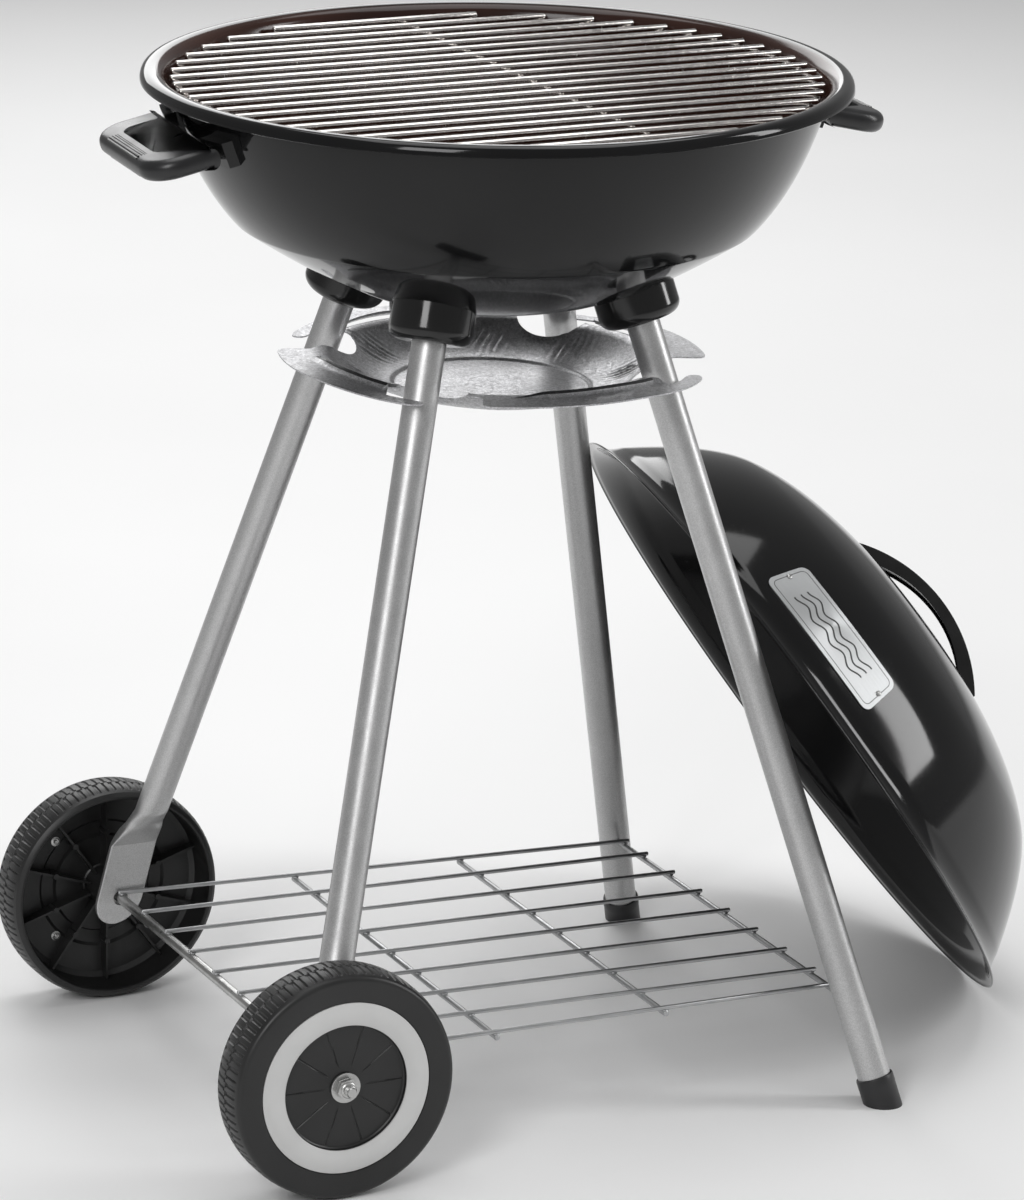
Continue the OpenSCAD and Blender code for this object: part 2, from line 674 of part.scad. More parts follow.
module lid_damper() color(zinc) on_lid() on_crown(damper_at_r, damper_az)
    translate([0, 0, 1.6]) difference() {
        union() {
            cylinder(h = 1, r = damper_r, $fn = 64);
            translate([damper_r - 5, -7, 0]) cube([14, 14, 1]);
            translate([damper_r + 7, -7, 0]) cube([2, 14, 9]);
        }
        air_hole_pattern(17, 11, 12, 4);
        translate([0, 0, -5]) cylinder(h = 12, r = 2.5 + running_gap, $fn = small_fn);
    }

module lid_damper_rivet() color(zinc) on_lid() on_crown(damper_at_r, damper_az) {
    translate([0, 0, -lid_t - 1]) cylinder(h = lid_t + 1 + 2.9, r = 2.5, $fn = small_fn);
    translate([0, 0, 2.9]) cylinder(h = 2, r = 5, $fn = small_fn);
    translate([0, 0, -lid_t - 2.5]) cylinder(h = 2, r = 5, $fn = small_fn);
}

fire_bowl();
grate_brackets();
bowl_damper();
bowl_damper_rivet();
handle_left();
handle_right();
handle_spacers();
handle_bolts();
socket_wheel_near();
socket_wheel_far();
socket_foot_near();
socket_foot_far();
socket_bolts();
leg_plugs();
leg_wheel_near();
leg_wheel_far();
leg_foot_near();
leg_foot_far();
foot_cap_near();
foot_cap_far();
axle_rod();
axle_nuts();
outer_washers();
inner_washers();
bottom_shelf();
wheel_near();
trim_ring_near();
trim_clips_near();
wheel_far();
trim_ring_far();
trim_clips_far();
cooking_grate();
charcoal_grate();
ash_pan();
lid_shell();
lid_handle();
lid_handle_screws();
name_plate();
plate_rivets();
lid_damper();
lid_damper_rivet();
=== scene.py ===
from math import atan2, copysign, cos, degrees, dist, exp, hypot, pi, radians, sin, sqrt

import bmesh
import bpy
from mathutils import Matrix, Vector
from mathutils.geometry import delaunay_2d_cdt
from mathutils.kdtree import KDTree


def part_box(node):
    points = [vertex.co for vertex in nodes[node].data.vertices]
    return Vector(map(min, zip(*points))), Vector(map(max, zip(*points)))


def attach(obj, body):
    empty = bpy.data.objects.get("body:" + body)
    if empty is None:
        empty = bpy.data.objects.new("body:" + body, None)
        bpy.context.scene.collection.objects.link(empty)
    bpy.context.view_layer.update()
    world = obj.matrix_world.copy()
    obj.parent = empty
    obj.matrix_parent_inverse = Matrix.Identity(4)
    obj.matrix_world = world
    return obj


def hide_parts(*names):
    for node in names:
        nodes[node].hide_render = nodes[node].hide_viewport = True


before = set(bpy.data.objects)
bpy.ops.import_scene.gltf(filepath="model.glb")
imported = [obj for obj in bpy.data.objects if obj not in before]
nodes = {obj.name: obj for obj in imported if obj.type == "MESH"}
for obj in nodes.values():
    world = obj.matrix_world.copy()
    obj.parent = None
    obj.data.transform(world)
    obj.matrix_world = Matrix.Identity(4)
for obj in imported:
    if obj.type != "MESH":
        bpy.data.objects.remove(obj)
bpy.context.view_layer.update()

# ---- sizes in millimetres, measured from the bowl's axis and the floor ----

bowl_lo, bowl_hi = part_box("fire_bowl")
RIM_R = round((bowl_hi.x - bowl_lo.x) / 2 * 1000)
RIM_Z = round(bowl_hi.z * 1000)
BOWL_AT = Vector(((bowl_lo.x + bowl_hi.x) / 2, (bowl_lo.y + bowl_hi.y) / 2, 0))
TO_FRAME = Matrix.Translation(BOWL_AT) @ Matrix.Scale(0.001, 4)
BOWL_T = 1.2

LID_R, LID_H, LID_T = 233, 111, 1.2
LID_LEAN, LID_YAW = radians(34), radians(-8.4)
PLATE_DEG = 147
AXLE, AXLE_R = Vector((-193, 0, 76)), 3.5
LEG_END_Z = 545
WHEEL_LEG = (Vector((-193, 174, 76)), Vector((-70, 63, LEG_END_Z)))
FOOT_LEG = (Vector((204, 196, 0)), Vector((69, 58, LEG_END_Z)))
LEG_TOP_Z, SOCKET_Z = 526, 515.5
TUBE_R = 11
WELD_GAP = 0.05
WHEEL_R, WHEEL_BACK, WHEEL_FACE, HUB_FACE = 76, 178, 215, 212
PAN_Z, PAN_R = 484, 141


def rot(angle, axis):
    """A turn by an angle in degrees."""
    return Matrix.Rotation(radians(angle), 4, axis)


def at(x, y, z):
    return Matrix.Translation((x, y, z))


def facing(point, way):
    """A matrix that puts a piece at a point, with its Z axis along a direction."""
    return Matrix.Translation(point) @ way.normalized().to_track_quat("Z", "Y").to_matrix().to_4x4()


def circle(count, r, start=0.0):
    """Points around a circle, from a start angle in degrees."""
    angles = [2 * pi * i / count + radians(start) for i in range(count)]
    return [(r * cos(a), r * sin(a)) for a in angles]


LID_PLACE = (at(250, 41.5, LID_R * cos(LID_LEAN)) @ Matrix.Rotation(LID_YAW, 4, "Z")
             @ Matrix.Rotation(pi / 2 - LID_LEAN, 4, "Y") @ rot(90, "Z"))


# ---- curves and meshes ----

def curve(a, b, c, n):
    """Points of a quadratic curve from a to c that pulls towards b, without a itself."""
    return [tuple((1 - u) ** 2 * p + 2 * u * (1 - u) * q + u * u * r for p, q, r in zip(a, b, c))
            for u in spread(0, 1, n)]


def polar(r, angle):
    a = radians(angle)
    return r * cos(a), r * sin(a)


def arc(r, a, b, n, middle=(0, 0)):
    """Points of an arc from a to b degrees, with both ends."""
    points = [polar(r, a + (b - a) * i / n) for i in range(n + 1)]
    return [(middle[0] + x, middle[1] + y) for x, y in points]


def spread(a, b, n):
    """n values that follow a in even steps, the last of them b."""
    return [a + (b - a) * i / n for i in range(1, n + 1)]


def neighbours(path, closed):
    """The points before and after each point of a path."""
    if closed:
        return zip(path[-1:] + path[:-1], path[1:] + path[:1])
    return zip(path[:1] + path[:-1], path[1:] + path[-1:])


def left_normals(path, closed=False):
    out = []
    for a, b in neighbours(path, closed):
        dx, dy = b[0] - a[0], b[1] - a[1]
        length = hypot(dx, dy) or 1
        out.append((-dy / length, dx / length))
    return out


def lifted(path, z):
    return [(r, h + z) for r, h in path]


def moved(path, t, closed=False):
    """The path moved t to its left."""
    return [(p[0] + t * n[0], p[1] + t * n[1])
            for p, n in zip(path, left_normals(path, closed))]


class Shape:
    """Vertices, faces and a material number for each face, in millimetres."""

    def __init__(self):
        self.verts, self.faces, self.mats = [], [], []

    def add(self, part, place=None, mat=0):
        verts, faces = part
        first = len(self.verts)
        self.verts += [tuple(place @ Vector(v)) for v in verts] if place else list(verts)
        self.faces += [[i + first for i in f] for f in faces]
        self.mats += [mat] * len(faces) if isinstance(mat, int) else list(mat)
        return self

    def mesh(self, name):
        mesh = bpy.data.meshes.new(name)
        mesh.from_pydata(self.verts, [], self.faces)
        return mesh


def grid_faces(rows, cols, wrap_rows=False, wrap_cols=False):
    faces = []
    for i in range(rows if wrap_rows else rows - 1):
        for j in range(cols if wrap_cols else cols - 1):
            a, b = i * cols, (i + 1) % rows * cols
            k = (j + 1) % cols
            faces.append([a + j, b + j, b + k, a + k])
    return faces


def sheet_faces(low, n):
    """The faces of a sheet with n points a side: its low side, its high side and walls between."""
    edges = {(a, b): True for f in low for a, b in zip(f, f[1:] + f[:1])}
    return (low + [[i + n for i in reversed(f)] for f in low]
            + [[a, b, b + n, a + n] for a, b in edges if (b, a) not in edges])


def end_faces(verts, n):
    """The faces that close a stack of outlines with n points each."""
    return [list(range(n)), list(range(len(verts) - n, len(verts)))]


def revolve(profile, segs):
    """profile is a list of (radius, height), or a function of the angle that gives one."""
    verts = []
    for i in range(segs):
        a = 2 * pi * i / segs
        points = profile(a) if callable(profile) else profile
        verts += [(max(r, 0) * cos(a), max(r, 0) * sin(a), z) for r, z in points]
    return verts, grid_faces(segs, len(points), True, True)


def tube(points, r, sides=16, closed=False, round_end=0.7):
    """A round wire or rod through the points, with a dome of round_end radii past each open end."""
    points = [Vector(p) for p in points]
    ways = [(b - a).normalized() for a, b in neighbours(points, closed)]
    side = ways[0].orthogonal().normalized()
    rings = []
    for p, w in zip(points, ways):
        side = (side - w * side.dot(w)).normalized()
        rings.append((p, side.copy(), w.cross(side), r))
    if not closed:
        first, last = rings[0], rings[-1]
        for k in (1, 2, 3):
            # just short of a quarter turn, so that the last ring is not a point
            a = k * pi / 6.3
            out, dome_r = round_end * r * sin(a), r * cos(a)
            rings.insert(0, (first[0] - ways[0] * out, first[1], first[2], dome_r))
            rings.append((last[0] + ways[-1] * out, last[1], last[2], dome_r))
    verts = [tuple(p + s * x + t * y) for p, s, t, ring_r in rings for x, y in circle(sides, ring_r)]
    faces = grid_faces(len(rings), sides, closed, True)
    return verts, faces if closed else faces + end_faces(verts, sides)


def wire(p, q, r, sides=14, trim=0.6):
    """A straight wire whose domed ends stay within p to q."""
    p, q = Vector(p), Vector(q)
    way = (q - p).normalized() * r * trim
    return tube([p + way, q - way], r, sides, round_end=trim)


def slab(outline, levels):
    """Stacks copies of a flat outline: levels is a list of (height, inset per point)."""
    normals = left_normals(outline, True)
    verts = []
    for z, inset in levels:
        for i, (p, n) in enumerate(zip(outline, normals)):
            t = inset(i) if callable(inset) else inset
            verts.append((p[0] + n[0] * t, p[1] + n[1] * t, z))
    return verts, grid_faces(len(levels), len(outline), False, True) + end_faces(verts, len(outline))


def round_levels(low, high, radii, steps):
    """Levels whose edges are rounded by a radius for each point of the outline."""
    def inset_at(depth):
        def inset(i):
            r = radii[i]
            return 0 if depth >= r else r - sqrt(r * r - (r - depth) ** 2)
        return inset
    depths = [max(radii) * (1 - cos(pi / 2 * k / steps)) for k in range(steps + 1)]
    return ([(low + d, inset_at(d)) for d in depths]
            + [(high - d, inset_at(d)) for d in reversed(depths)])


def box(lo, hi):
    (x0, y0, z0), (x1, y1, z1) = lo, hi
    verts = [(x, y, z) for z in (z0, z1) for x, y in ((x0, y0), (x1, y0), (x1, y1), (x0, y1))]
    return verts, [[0, 3, 2, 1], [4, 5, 6, 7], [0, 1, 5, 4], [1, 2, 6, 5], [2, 3, 7, 6], [3, 0, 4, 7]]


def clean(mesh, merge=False):
    """Turns all faces outwards, after merging points that coincide if asked."""
    bm = bmesh.new()
    bm.from_mesh(mesh)
    if merge:
        bmesh.ops.remove_doubles(bm, verts=bm.verts, dist=0.002)
        bmesh.ops.dissolve_degenerate(bm, dist=0.001, edges=bm.edges)
    bmesh.ops.recalc_face_normals(bm, faces=bm.faces)
    bm.to_mesh(mesh)
    bm.free()


def smooth_shade(mesh, sharp):
    """Smooth shading, apart from edges that bend by more than an angle in degrees."""
    for p in mesh.polygons:
        p.use_smooth = True
    mesh.set_sharp_from_angle(angle=radians(sharp))


def piece(name, shape, body, mats, replaces=(), place=None, sharp=35, bevel=0):
    """Makes an object of a shape in millimetres, in the shared frame, riding on a body."""
    if not isinstance(shape, Shape):
        shape = Shape().add(shape)
    mesh = shape.mesh(name)
    for m in mats:
        mesh.materials.append(m)
    mesh.polygons.foreach_set("material_index", shape.mats)
    clean(mesh, merge=True)
    mesh.transform(TO_FRAME @ place if place else TO_FRAME)
    return finish_piece(name, mesh, body, replaces, sharp, bevel)


def new_object(name, data):
    obj = bpy.data.objects.new(name, data)
    bpy.context.scene.collection.objects.link(obj)
    return obj


def finish_piece(name, mesh, body, replaces, sharp, bevel=0):
    smooth_shade(mesh, sharp)
    obj = new_object(name, mesh)
    if bevel:
        add_bevel(obj, bevel)
    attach(obj, body)
    if replaces:
        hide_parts(*replaces)
    return obj


def add_bevel(obj, width):
    """Rounds sharp edges by a width in millimetres."""
    mod = obj.modifiers.new("edge", "BEVEL")
    mod.width = width / 1000
    mod.segments = 2
    mod.limit_method = "ANGLE"
    mod.angle_limit = radians(40)
    mod.harden_normals = True


def cut(obj, shape, place=None):
    """Cuts a shape out of an object for good."""
    mesh = shape.mesh("cutter")
    clean(mesh)
    mesh.transform(TO_FRAME @ place if place else TO_FRAME)
    cutter = new_object("cutter", mesh)
    mod = obj.modifiers.new("cut", "BOOLEAN")
    mod.object = cutter
    mod.solver = "EXACT"
    bpy.context.view_layer.update()
    result = bpy.data.meshes.new_from_object(
        obj.evaluated_get(bpy.context.evaluated_depsgraph_get()))
    obj.modifiers.clear()
    old = obj.data
    obj.data = result
    result.name = old.name
    bpy.data.objects.remove(cutter)
    smooth_shade(result, 35)


# ---- materials ----

class Look:
    """A procedural material. Texture sizes are in cycles per metre of the object."""

    def __init__(self, name, rough=0.4, metal=0.0, **sockets):
        self.mat = bpy.data.materials.new(name)
        self.mat.use_nodes = True
        self.nodes = self.mat.node_tree.nodes
        self.shader = self.nodes["Principled BSDF"]
        self.feed(self.shader, {"Metallic": metal, "Roughness": rough})
        self.feed(self.shader, {key.replace("_", " "): value for key, value in sockets.items()})
        self.coord = self.node("TexCoord", {})["Object"]
        self.height = None

    def feed(self, node, sockets):
        """Gives each input a value, or a link from another node's output."""
        for key, value in sockets.items():
            if isinstance(value, bpy.types.NodeSocket):
                self.mat.node_tree.links.new(value, node.inputs[key])
            else:
                node.inputs[key].default_value = value

    def node(self, kind, sockets, **settings):
        """Makes a node and returns its outputs."""
        node = self.nodes.new("ShaderNode" + kind)
        for key, value in settings.items():
            setattr(node, key, value)
        self.feed(node, sockets)
        return node.outputs

    def noise(self, scale, detail=3.0, stretch=None, distortion=0.0, coord=None):
        coord = coord or self.coord
        if stretch:
            coord = self.node("Mapping", {"Scale": stretch, "Vector": coord})["Vector"]
        return self.node("TexNoise", {"Scale": scale, "Detail": detail, "Distortion": distortion,
                                      "Vector": coord})["Fac"]

    def cells(self, scale):
        return self.node("TexVoronoi", {"Scale": scale, "Vector": self.coord})["Color"]

    def ramp(self, value, *stops):
        """stops are two of (place, colour or number)."""
        node = self.nodes.new("ShaderNodeValToRGB")
        self.feed(node, {"Fac": value})
        for e, (place, colour) in zip(node.color_ramp.elements, stops):
            e.position = place
            e.color = (*(colour if isinstance(colour, tuple) else (colour,) * 3), 1)
        return node.outputs["Color"]

    def mix(self, a, b, how):
        return self.node("Mix", {"Factor": 1.0, "A": a, "B": b},
                         data_type="RGBA", blend_type=how)["Result"]

    def colour(self, value):
        self.feed(self.shader, {"Base Color": value})

    def rough(self, value):
        self.feed(self.shader, {"Roughness": value})

    def bump(self, value, height_mm, strength):
        """Adds bumps to those that the material already has."""
        sockets = {"Distance": height_mm / 1000, "Strength": strength, "Height": value}
        if self.height:
            sockets["Normal"] = self.height
        self.height = self.node("Bump", sockets)["Normal"]
        self.feed(self.shader, {"Normal": self.height})


def enamel(name, dark, light, shine):
    """Fired enamel: wavy gloss, faint dust and fine pits."""
    look = Look(name, IOR=1.5, Specular_IOR_Level=0.3)
    look.colour(look.ramp(look.noise(9, 4), (0.3, dark), (0.75, light)))
    dust = look.ramp(look.noise(420, 2), (0.66, 0.0), (0.8, 0.12))
    soft = look.ramp(look.noise(14, 5, distortion=0.6), (0.3, shine), (0.8, shine + 0.05))
    look.rough(look.mix(soft, dust, "ADD"))
    look.bump(look.noise(75, 2), 0.05, 0.22)
    look.bump(look.noise(800, 1), 0.008, 0.25)
    return look.mat


def plastic(name, dark, light, shine, grain, grain_mm):
    """Moulded plastic with a fine grain and patches of handling gloss."""
    look = Look(name, IOR=1.5)
    look.colour(look.ramp(look.noise(30, 4), (0.3, dark), (0.75, light)))
    look.rough(look.ramp(look.noise(60, 5), (0.3, shine), (0.75, shine + 0.1)))
    look.bump(look.noise(grain, 2), grain_mm, 0.5)
    return look.mat


def wire_metal(name, dark, light, shine):
    """Drawn and plated wire with faint drawing marks and patches."""
    look = Look(name, metal=1.0)
    look.colour(look.ramp(look.noise(45, 5), (0.3, dark), (0.72, light)))
    look.rough(look.ramp(look.noise(260, 4), (0.3, shine), (0.75, shine + 0.14)))
    look.bump(look.noise(1500, 2), 0.008, 0.12)
    return look.mat


def painted_silver():
    """Silver paint with fine flakes under a thin clear coat."""
    look = Look("silver_paint", metal=0.85, Coat_Weight=0.15, Coat_Roughness=0.25)
    flakes = look.ramp(look.cells(2600), (0.2, 0.5), (0.85, 0.66))
    patches = look.ramp(look.noise(12, 4), (0.3, 0.88), (0.7, 1.0))
    look.colour(look.mix(flakes, patches, "MULTIPLY"))
    look.rough(look.ramp(look.noise(90, 5), (0.3, 0.36), (0.75, 0.46)))
    look.bump(look.noise(1100, 3), 0.02, 0.3)
    return look.mat


def galvanised(name, level):
    """Zinc spangle: crystals of differing brightness, with fine sparkle and roll marks."""
    look = Look(name, metal=0.7)
    crystals = look.ramp(look.cells(620), (0.15, (level, level, level * 1.02)),
                         (0.85, (1.5 * level, 1.5 * level, 1.53 * level)))
    sparkle = look.ramp(look.noise(1700, 3), (0.42, 0.72), (0.66, 1.15))
    clouds = look.ramp(look.noise(22, 5), (0.3, (0.78, 0.78, 0.79)), (0.7, 1.0))
    look.colour(look.mix(look.mix(crystals, sparkle, "MULTIPLY"), clouds, "MULTIPLY"))
    look.rough(look.ramp(look.cells(560), (0.1, 0.32), (0.9, 0.5)))
    look.bump(look.noise(1300, 3), 0.05, 0.5)
    look.bump(look.noise(38, 3), 0.35, 0.35)
    return look.mat


def brushed():
    """Metal brushed along the plate, which carries its own map for the direction."""
    look = Look("brushed_plate", metal=1.0, Anisotropic=0.5)
    uv = look.node("UVMap", {}, uv_map="along")["UV"]
    lines = look.noise(1.0, 6, stretch=(6, 900, 1), coord=uv)
    look.colour(look.ramp(lines, (0.3, (0.46, 0.47, 0.475)), (0.7, (0.62, 0.63, 0.635))))
    look.rough(look.ramp(lines, (0.3, 0.42), (0.7, 0.56)))
    look.bump(lines, 0.015, 0.4)
    return look.mat


black_enamel = enamel("black_enamel", (0.0045, 0.0045, 0.0048), (0.007, 0.007, 0.0073), 0.06)
brown_enamel = enamel("brown_enamel", (0.018, 0.007, 0.005), (0.045, 0.018, 0.012), 0.14)
satin_plastic = plastic("satin_plastic", (0.01, 0.01, 0.011), (0.018, 0.018, 0.019), 0.27, 1500, 0.02)
gloss_plastic = plastic("gloss_plastic", 0.005, 0.009, 0.1, 300, 0.012)
wheel_plastic = plastic("wheel_plastic", 0.009, 0.016, 0.36, 900, 0.03)
cap_plastic = plastic("cap_plastic", (0.012, 0.012, 0.013), (0.022, 0.022, 0.023), 0.36, 1200, 0.03)
grey_plastic = plastic("grey_plastic", (0.58, 0.58, 0.575), (0.63, 0.63, 0.625), 0.34, 700, 0.01)
ink = plastic("plate_ink", 0.02, 0.05, 0.5, 900, 0.01)
chrome_wire = wire_metal("chrome_wire", (0.60, 0.57, 0.55), (0.80, 0.77, 0.75), 0.14)
shelf_wire = wire_metal("shelf_wire", (0.40, 0.405, 0.41), (0.50, 0.505, 0.51), 0.32)
dull_wire = wire_metal("dull_wire", (0.20, 0.19, 0.185), (0.36, 0.35, 0.34), 0.34)
zinc = wire_metal("zinc_plate", (0.42, 0.42, 0.415), (0.58, 0.58, 0.57), 0.27)
damper_sheet = wire_metal("damper_sheet", 0.5, 0.66, 0.32)
silver_paint = painted_silver()
galvanised_sheet = galvanised("galvanised_sheet", 0.5)
# painted shade: a near-black copy of the galvanised sheet, for the pan's turned-up slit edges
painted_shade_sheet = galvanised("galvanised_painted_shade", 0.06)
brushed_plate = brushed()


# ---- bowl ----

KETTLE_SEGS = 224
FLOOR_Z, FLOOR_R = RIM_Z - 146.5, 66
CREASE = (171, RIM_Z - 96.5)
WALL_TOP = (RIM_R - 16, RIM_Z - 10)


def eased(low, high, pull=1.6, n=6):
    """Joins two runs of points with a small round bend in place of their shared corner."""
    x, z = corner = low[-1]
    p, q = ((x + (a - x) * pull / dist((a, b), corner), z + (b - z) * pull / dist((a, b), corner))
            for a, b in (low[-2], high[0]))
    return low[:-1] + [p] + curve(p, corner, q, n) + high


def bowl_profile(n):
    """The bowl's outside from the middle of its floor to the lip of its rim."""
    flat_end, edge, top = (FLOOR_R - 2, FLOOR_Z), RIM_R - BOWL_T, RIM_Z - BOWL_T
    floor = [(0, FLOOR_Z), flat_end] + curve(flat_end, (95, FLOOR_Z), CREASE, 2 * n)
    return (eased(floor, curve(CREASE, (199, RIM_Z - 67), WALL_TOP, 2 * n))
            + curve(WALL_TOP, (RIM_R - 15, top), (RIM_R - 6, top), n)
            + curve((RIM_R - 6, top), (edge, top), (edge, RIM_Z - 7), n))


def cylinder(r, low, high, sides):
    return revolve([(0, low), (r, low), (r, high), (0, high)], sides)


def make_bowl():
    path = bowl_profile(12)
    inner = moved(path, BOWL_T)
    (x0, z0), (x1, z1) = path[-1], inner[-1]
    profile = path + [((x0 + x1) / 2, min(z0, z1) - 0.35)] + inner[::-1]
    n = len(profile)
    # the brown inside starts where the rim turns out
    rim_points = 14
    mats = [1 if j > n - len(path) + rim_points else 0 for _ in range(KETTLE_SEGS) for j in range(n)]
    shape = Shape().add(revolve(profile, KETTLE_SEGS), mat=mats)
    obj = piece("bowl", shape, "frame", [black_enamel, brown_enamel], ["fire_bowl"], sharp=18)
    holes = Shape()
    for x, y in circle(4, 38):
        holes.add(cylinder(10, 0, 12, 40), at(x, y, FLOOR_Z - 5))
    cut(obj, holes)


make_bowl()

for name, look in (("grate_brackets", black_enamel), ("bowl_damper_rivet", zinc), ("handle_bolts", zinc),
                   ("socket_bolts", zinc), ("leg_plugs", zinc), ("lid_damper_rivet", zinc),
                   ("outer_washers", zinc), ("inner_washers", zinc), ("bowl_damper", damper_sheet),
                   ("lid_damper", damper_sheet), ("handle_spacers", gloss_plastic)):
    cad = nodes[name]
    cad.data.materials.clear()
    cad.data.materials.append(look)
    smooth_shade(cad.data, 32)
    add_bevel(cad, 0.25 if "rivet" in name or "washers" in name else 0.5)


# ---- grates ----

def round_grate(name, node, body, look, ring_r, ring_z, d, pitch, cross_x, segs):
    """A ring of wire with straight wires on it and one cross wire under them, all d thick."""
    overhang, bead = 5, 0.42 * d
    shape = Shape()
    shape.add(tube([(x, y, ring_z) for x, y in circle(segs, ring_r)], d / 2, 14, closed=True))
    rows = int((ring_r - 4) / pitch - 0.5)
    z = ring_z + d + WELD_GAP
    for i in range(-rows - 1, rows + 1):
        y = (i + 0.5) * pitch
        reach = sqrt(ring_r ** 2 - y * y)
        shape.add(wire((-reach - overhang, y, z), (reach + overhang, y, z), d / 2))
        for side in (-1, 1):
            # a small weld bead where the wire crosses the ring
            shape.add(revolve([(0, -0.3 * d), (bead, 0), (0, 0.3 * d)], 12),
                      at(side * reach, y, ring_z + bead))
    reach = sqrt(ring_r ** 2 - cross_x ** 2)
    shape.add(wire((cross_x, -reach, ring_z), (cross_x, reach, ring_z), d / 2))
    piece(name, shape, body, [look], [node])


round_grate("cooking_grate_wires", "cooking_grate", "cooking_grate_body", chrome_wire,
            207, RIM_Z - 10.5, 4.5, 20.5, 22, 200)
round_grate("charcoal_grate_wires", "charcoal_grate", "charcoal_grate_body", dull_wire,
            156, RIM_Z - 99.5, 5, 24, 0, 144)


# ---- side handles ----

HANDLE_W, GAP_W, HANDLE_T, HANDLE_OUT, GRIP = 119, 73, 14, 44, 16


def handle_outline():
    """(outline, rounding of each point) of a side handle seen from above."""
    half, inner, corner, turn = HANDLE_W / 2, GAP_W / 2, 22, 9
    reach = HANDLE_OUT - GRIP
    end_round, edge_round, window_round = 5.5, 6.2, 2
    neck = HANDLE_OUT - corner
    outer = [(x, -half) for x in spread(-3, neck - 2, 8)]
    outer += arc(corner, -90, 0, 12, (neck, -half + corner))[1:]
    outer += [(HANDLE_OUT, y) for y in spread(-half + corner, half - corner, 12)[:-1]]
    outer += arc(corner, 0, 90, 12, (neck, half - corner))
    outer += [(x, half) for x in [neck - 1] + spread(neck - 1, -2, 8)[:-1]]
    # inside of the window, with finger scallops along the grip
    window = [(1.5, inner)] + [(x, inner) for x in spread(2, reach - turn, 5)]
    window += arc(turn, 90, 0, 6, (reach - turn, inner - turn))[1:]
    scallops, scallop_deep, steps = 4, 1.3, 60
    for i, y in enumerate(spread(inner - turn, turn - inner, steps)[:-1], 1):
        ease = min(1, 6 * min(i, steps - i) / steps)
        wave = 1 - abs(cos(scallops * pi * i / steps)) ** 0.7
        window.append((reach - ease * scallop_deep * wave, y))
    window += arc(turn, 0, -90, 6, (reach - turn, turn - inner))[:-1]
    window += [(x, -inner) for x in [reach - turn] + spread(reach - turn, 2, 5)] + [(1.5, -inner)]
    points = [(-3.5, -half)] + outer + [(-3.5, half)] + window
    radii = [end_round] + [edge_round] * len(outer) + [end_round] + [window_round] * len(window)
    return points, radii


def side_handle(name, node, turn):
    points, radii = handle_outline()
    yaw, droop = -3.3, 13
    place = rot(yaw + turn, "Z") @ at(215, 0, 648.5) @ rot(droop, "Y") @ at(0, 0, -HANDLE_T)
    shape = Shape().add(slab(points, round_levels(0, HANDLE_T, radii, 6)))
    # ribbed pad that wraps the grip's outer edge
    section = []
    steps, wrap, ribs, rib_deep, pad_half = 96, 118, 13, 0.32, 29
    for i in range(steps + 1):
        a = radians(wrap - 2 * wrap * i / steps)
        rib = 0.0 if i in (0, steps) else rib_deep * cos(2 * pi * ribs * i / steps)
        flat = max(-1, min(1, 1.18 * sin(a)))
        section.append((HANDLE_OUT - 7.6 + (7.2 + rib) * cos(a) * (1.0 if cos(a) > 0 else 0.7),
                        HANDLE_T / 2 + (7.15 + rib) * flat * 0.985))
    verts = [(x, y, z) for y in (-pad_half, pad_half) for x, z in section]
    n = len(section)
    shape.add((verts, grid_faces(2, n, False, True) + end_faces(verts, n)))
    piece(name, shape, "frame", [satin_plastic], [node], place, sharp=30)


side_handle("side_handle_left", "handle_left", 180)
side_handle("side_handle_right", "handle_right", 0)


# ---- legs, feet and axle ----

def leg_at(leg, side, z):
    low, high = leg
    p = low + (high - low) * ((z - low.z) / (high.z - low.z))
    return Vector((p.x, side * p.y, z))


def wheel_leg(name, node, side):
    """A tube whose lower end is pressed flat around the axle."""
    low, high = WHEEL_LEG
    dx, dy = (high.x - low.x) / (high.z - low.z), (high.y - low.y) / (high.z - low.z)
    tip, flat_top, round_from, top = 18, 38, 66, LEG_TOP_Z - low.z
    flat_wide, flat_thick, flat_power = 16.5, 2.2, 9.0
    round_wide, round_thick, round_power = 11.4, 11.2, 2.0
    # (height, half width, half thickness, squareness, how far the tube has become round)
    stations = []
    for i in range(17):
        a = pi / 2 * (1 - i / 16)
        wide = max(flat_wide * cos(a) ** 0.9, 0.4)
        stations.append((-tip * sin(a), wide, flat_thick, flat_power, 0))
    stations += [(z, flat_wide, flat_thick, flat_power, 0) for z in spread(0, flat_top, 6)]
    for u in spread(0, 1, 14):
        stations.append((flat_top + (round_from - flat_top) * u,
                         flat_wide + (round_wide - flat_wide) * u,
                         flat_thick + (round_thick - flat_thick) * u ** 0.85,
                         flat_power + (round_power - flat_power) * min(1, u * 1.6), u))
    stations += [(z, round_wide, round_thick, round_power, 1) for z in spread(round_from, top, 24)]
    sides = 48
    verts = []
    for z, wide, thick, power, u in stations:
        lean = dy * z if z > round_from else dy * round_from * u ** 1.2 if z > flat_top else 0
        for c, sn in circle(sides, 1):
            x = wide * copysign(abs(c) ** (2 / power), c)
            y = thick * copysign(abs(sn) ** (2 / power), sn)
            verts.append((low.x + dx * z + x, side * (low.y + lean + y), low.z + z))
    faces = grid_faces(len(stations), sides, False, True) + end_faces(verts, sides)
    obj = piece(name, (verts, faces), "frame", [silver_paint], [node], sharp=28)
    hole_r = 5.3
    cut(obj, Shape().add(cylinder(hole_r, -20, 20, 40), at(low.x, side * low.y, low.z) @ rot(90, "X")))


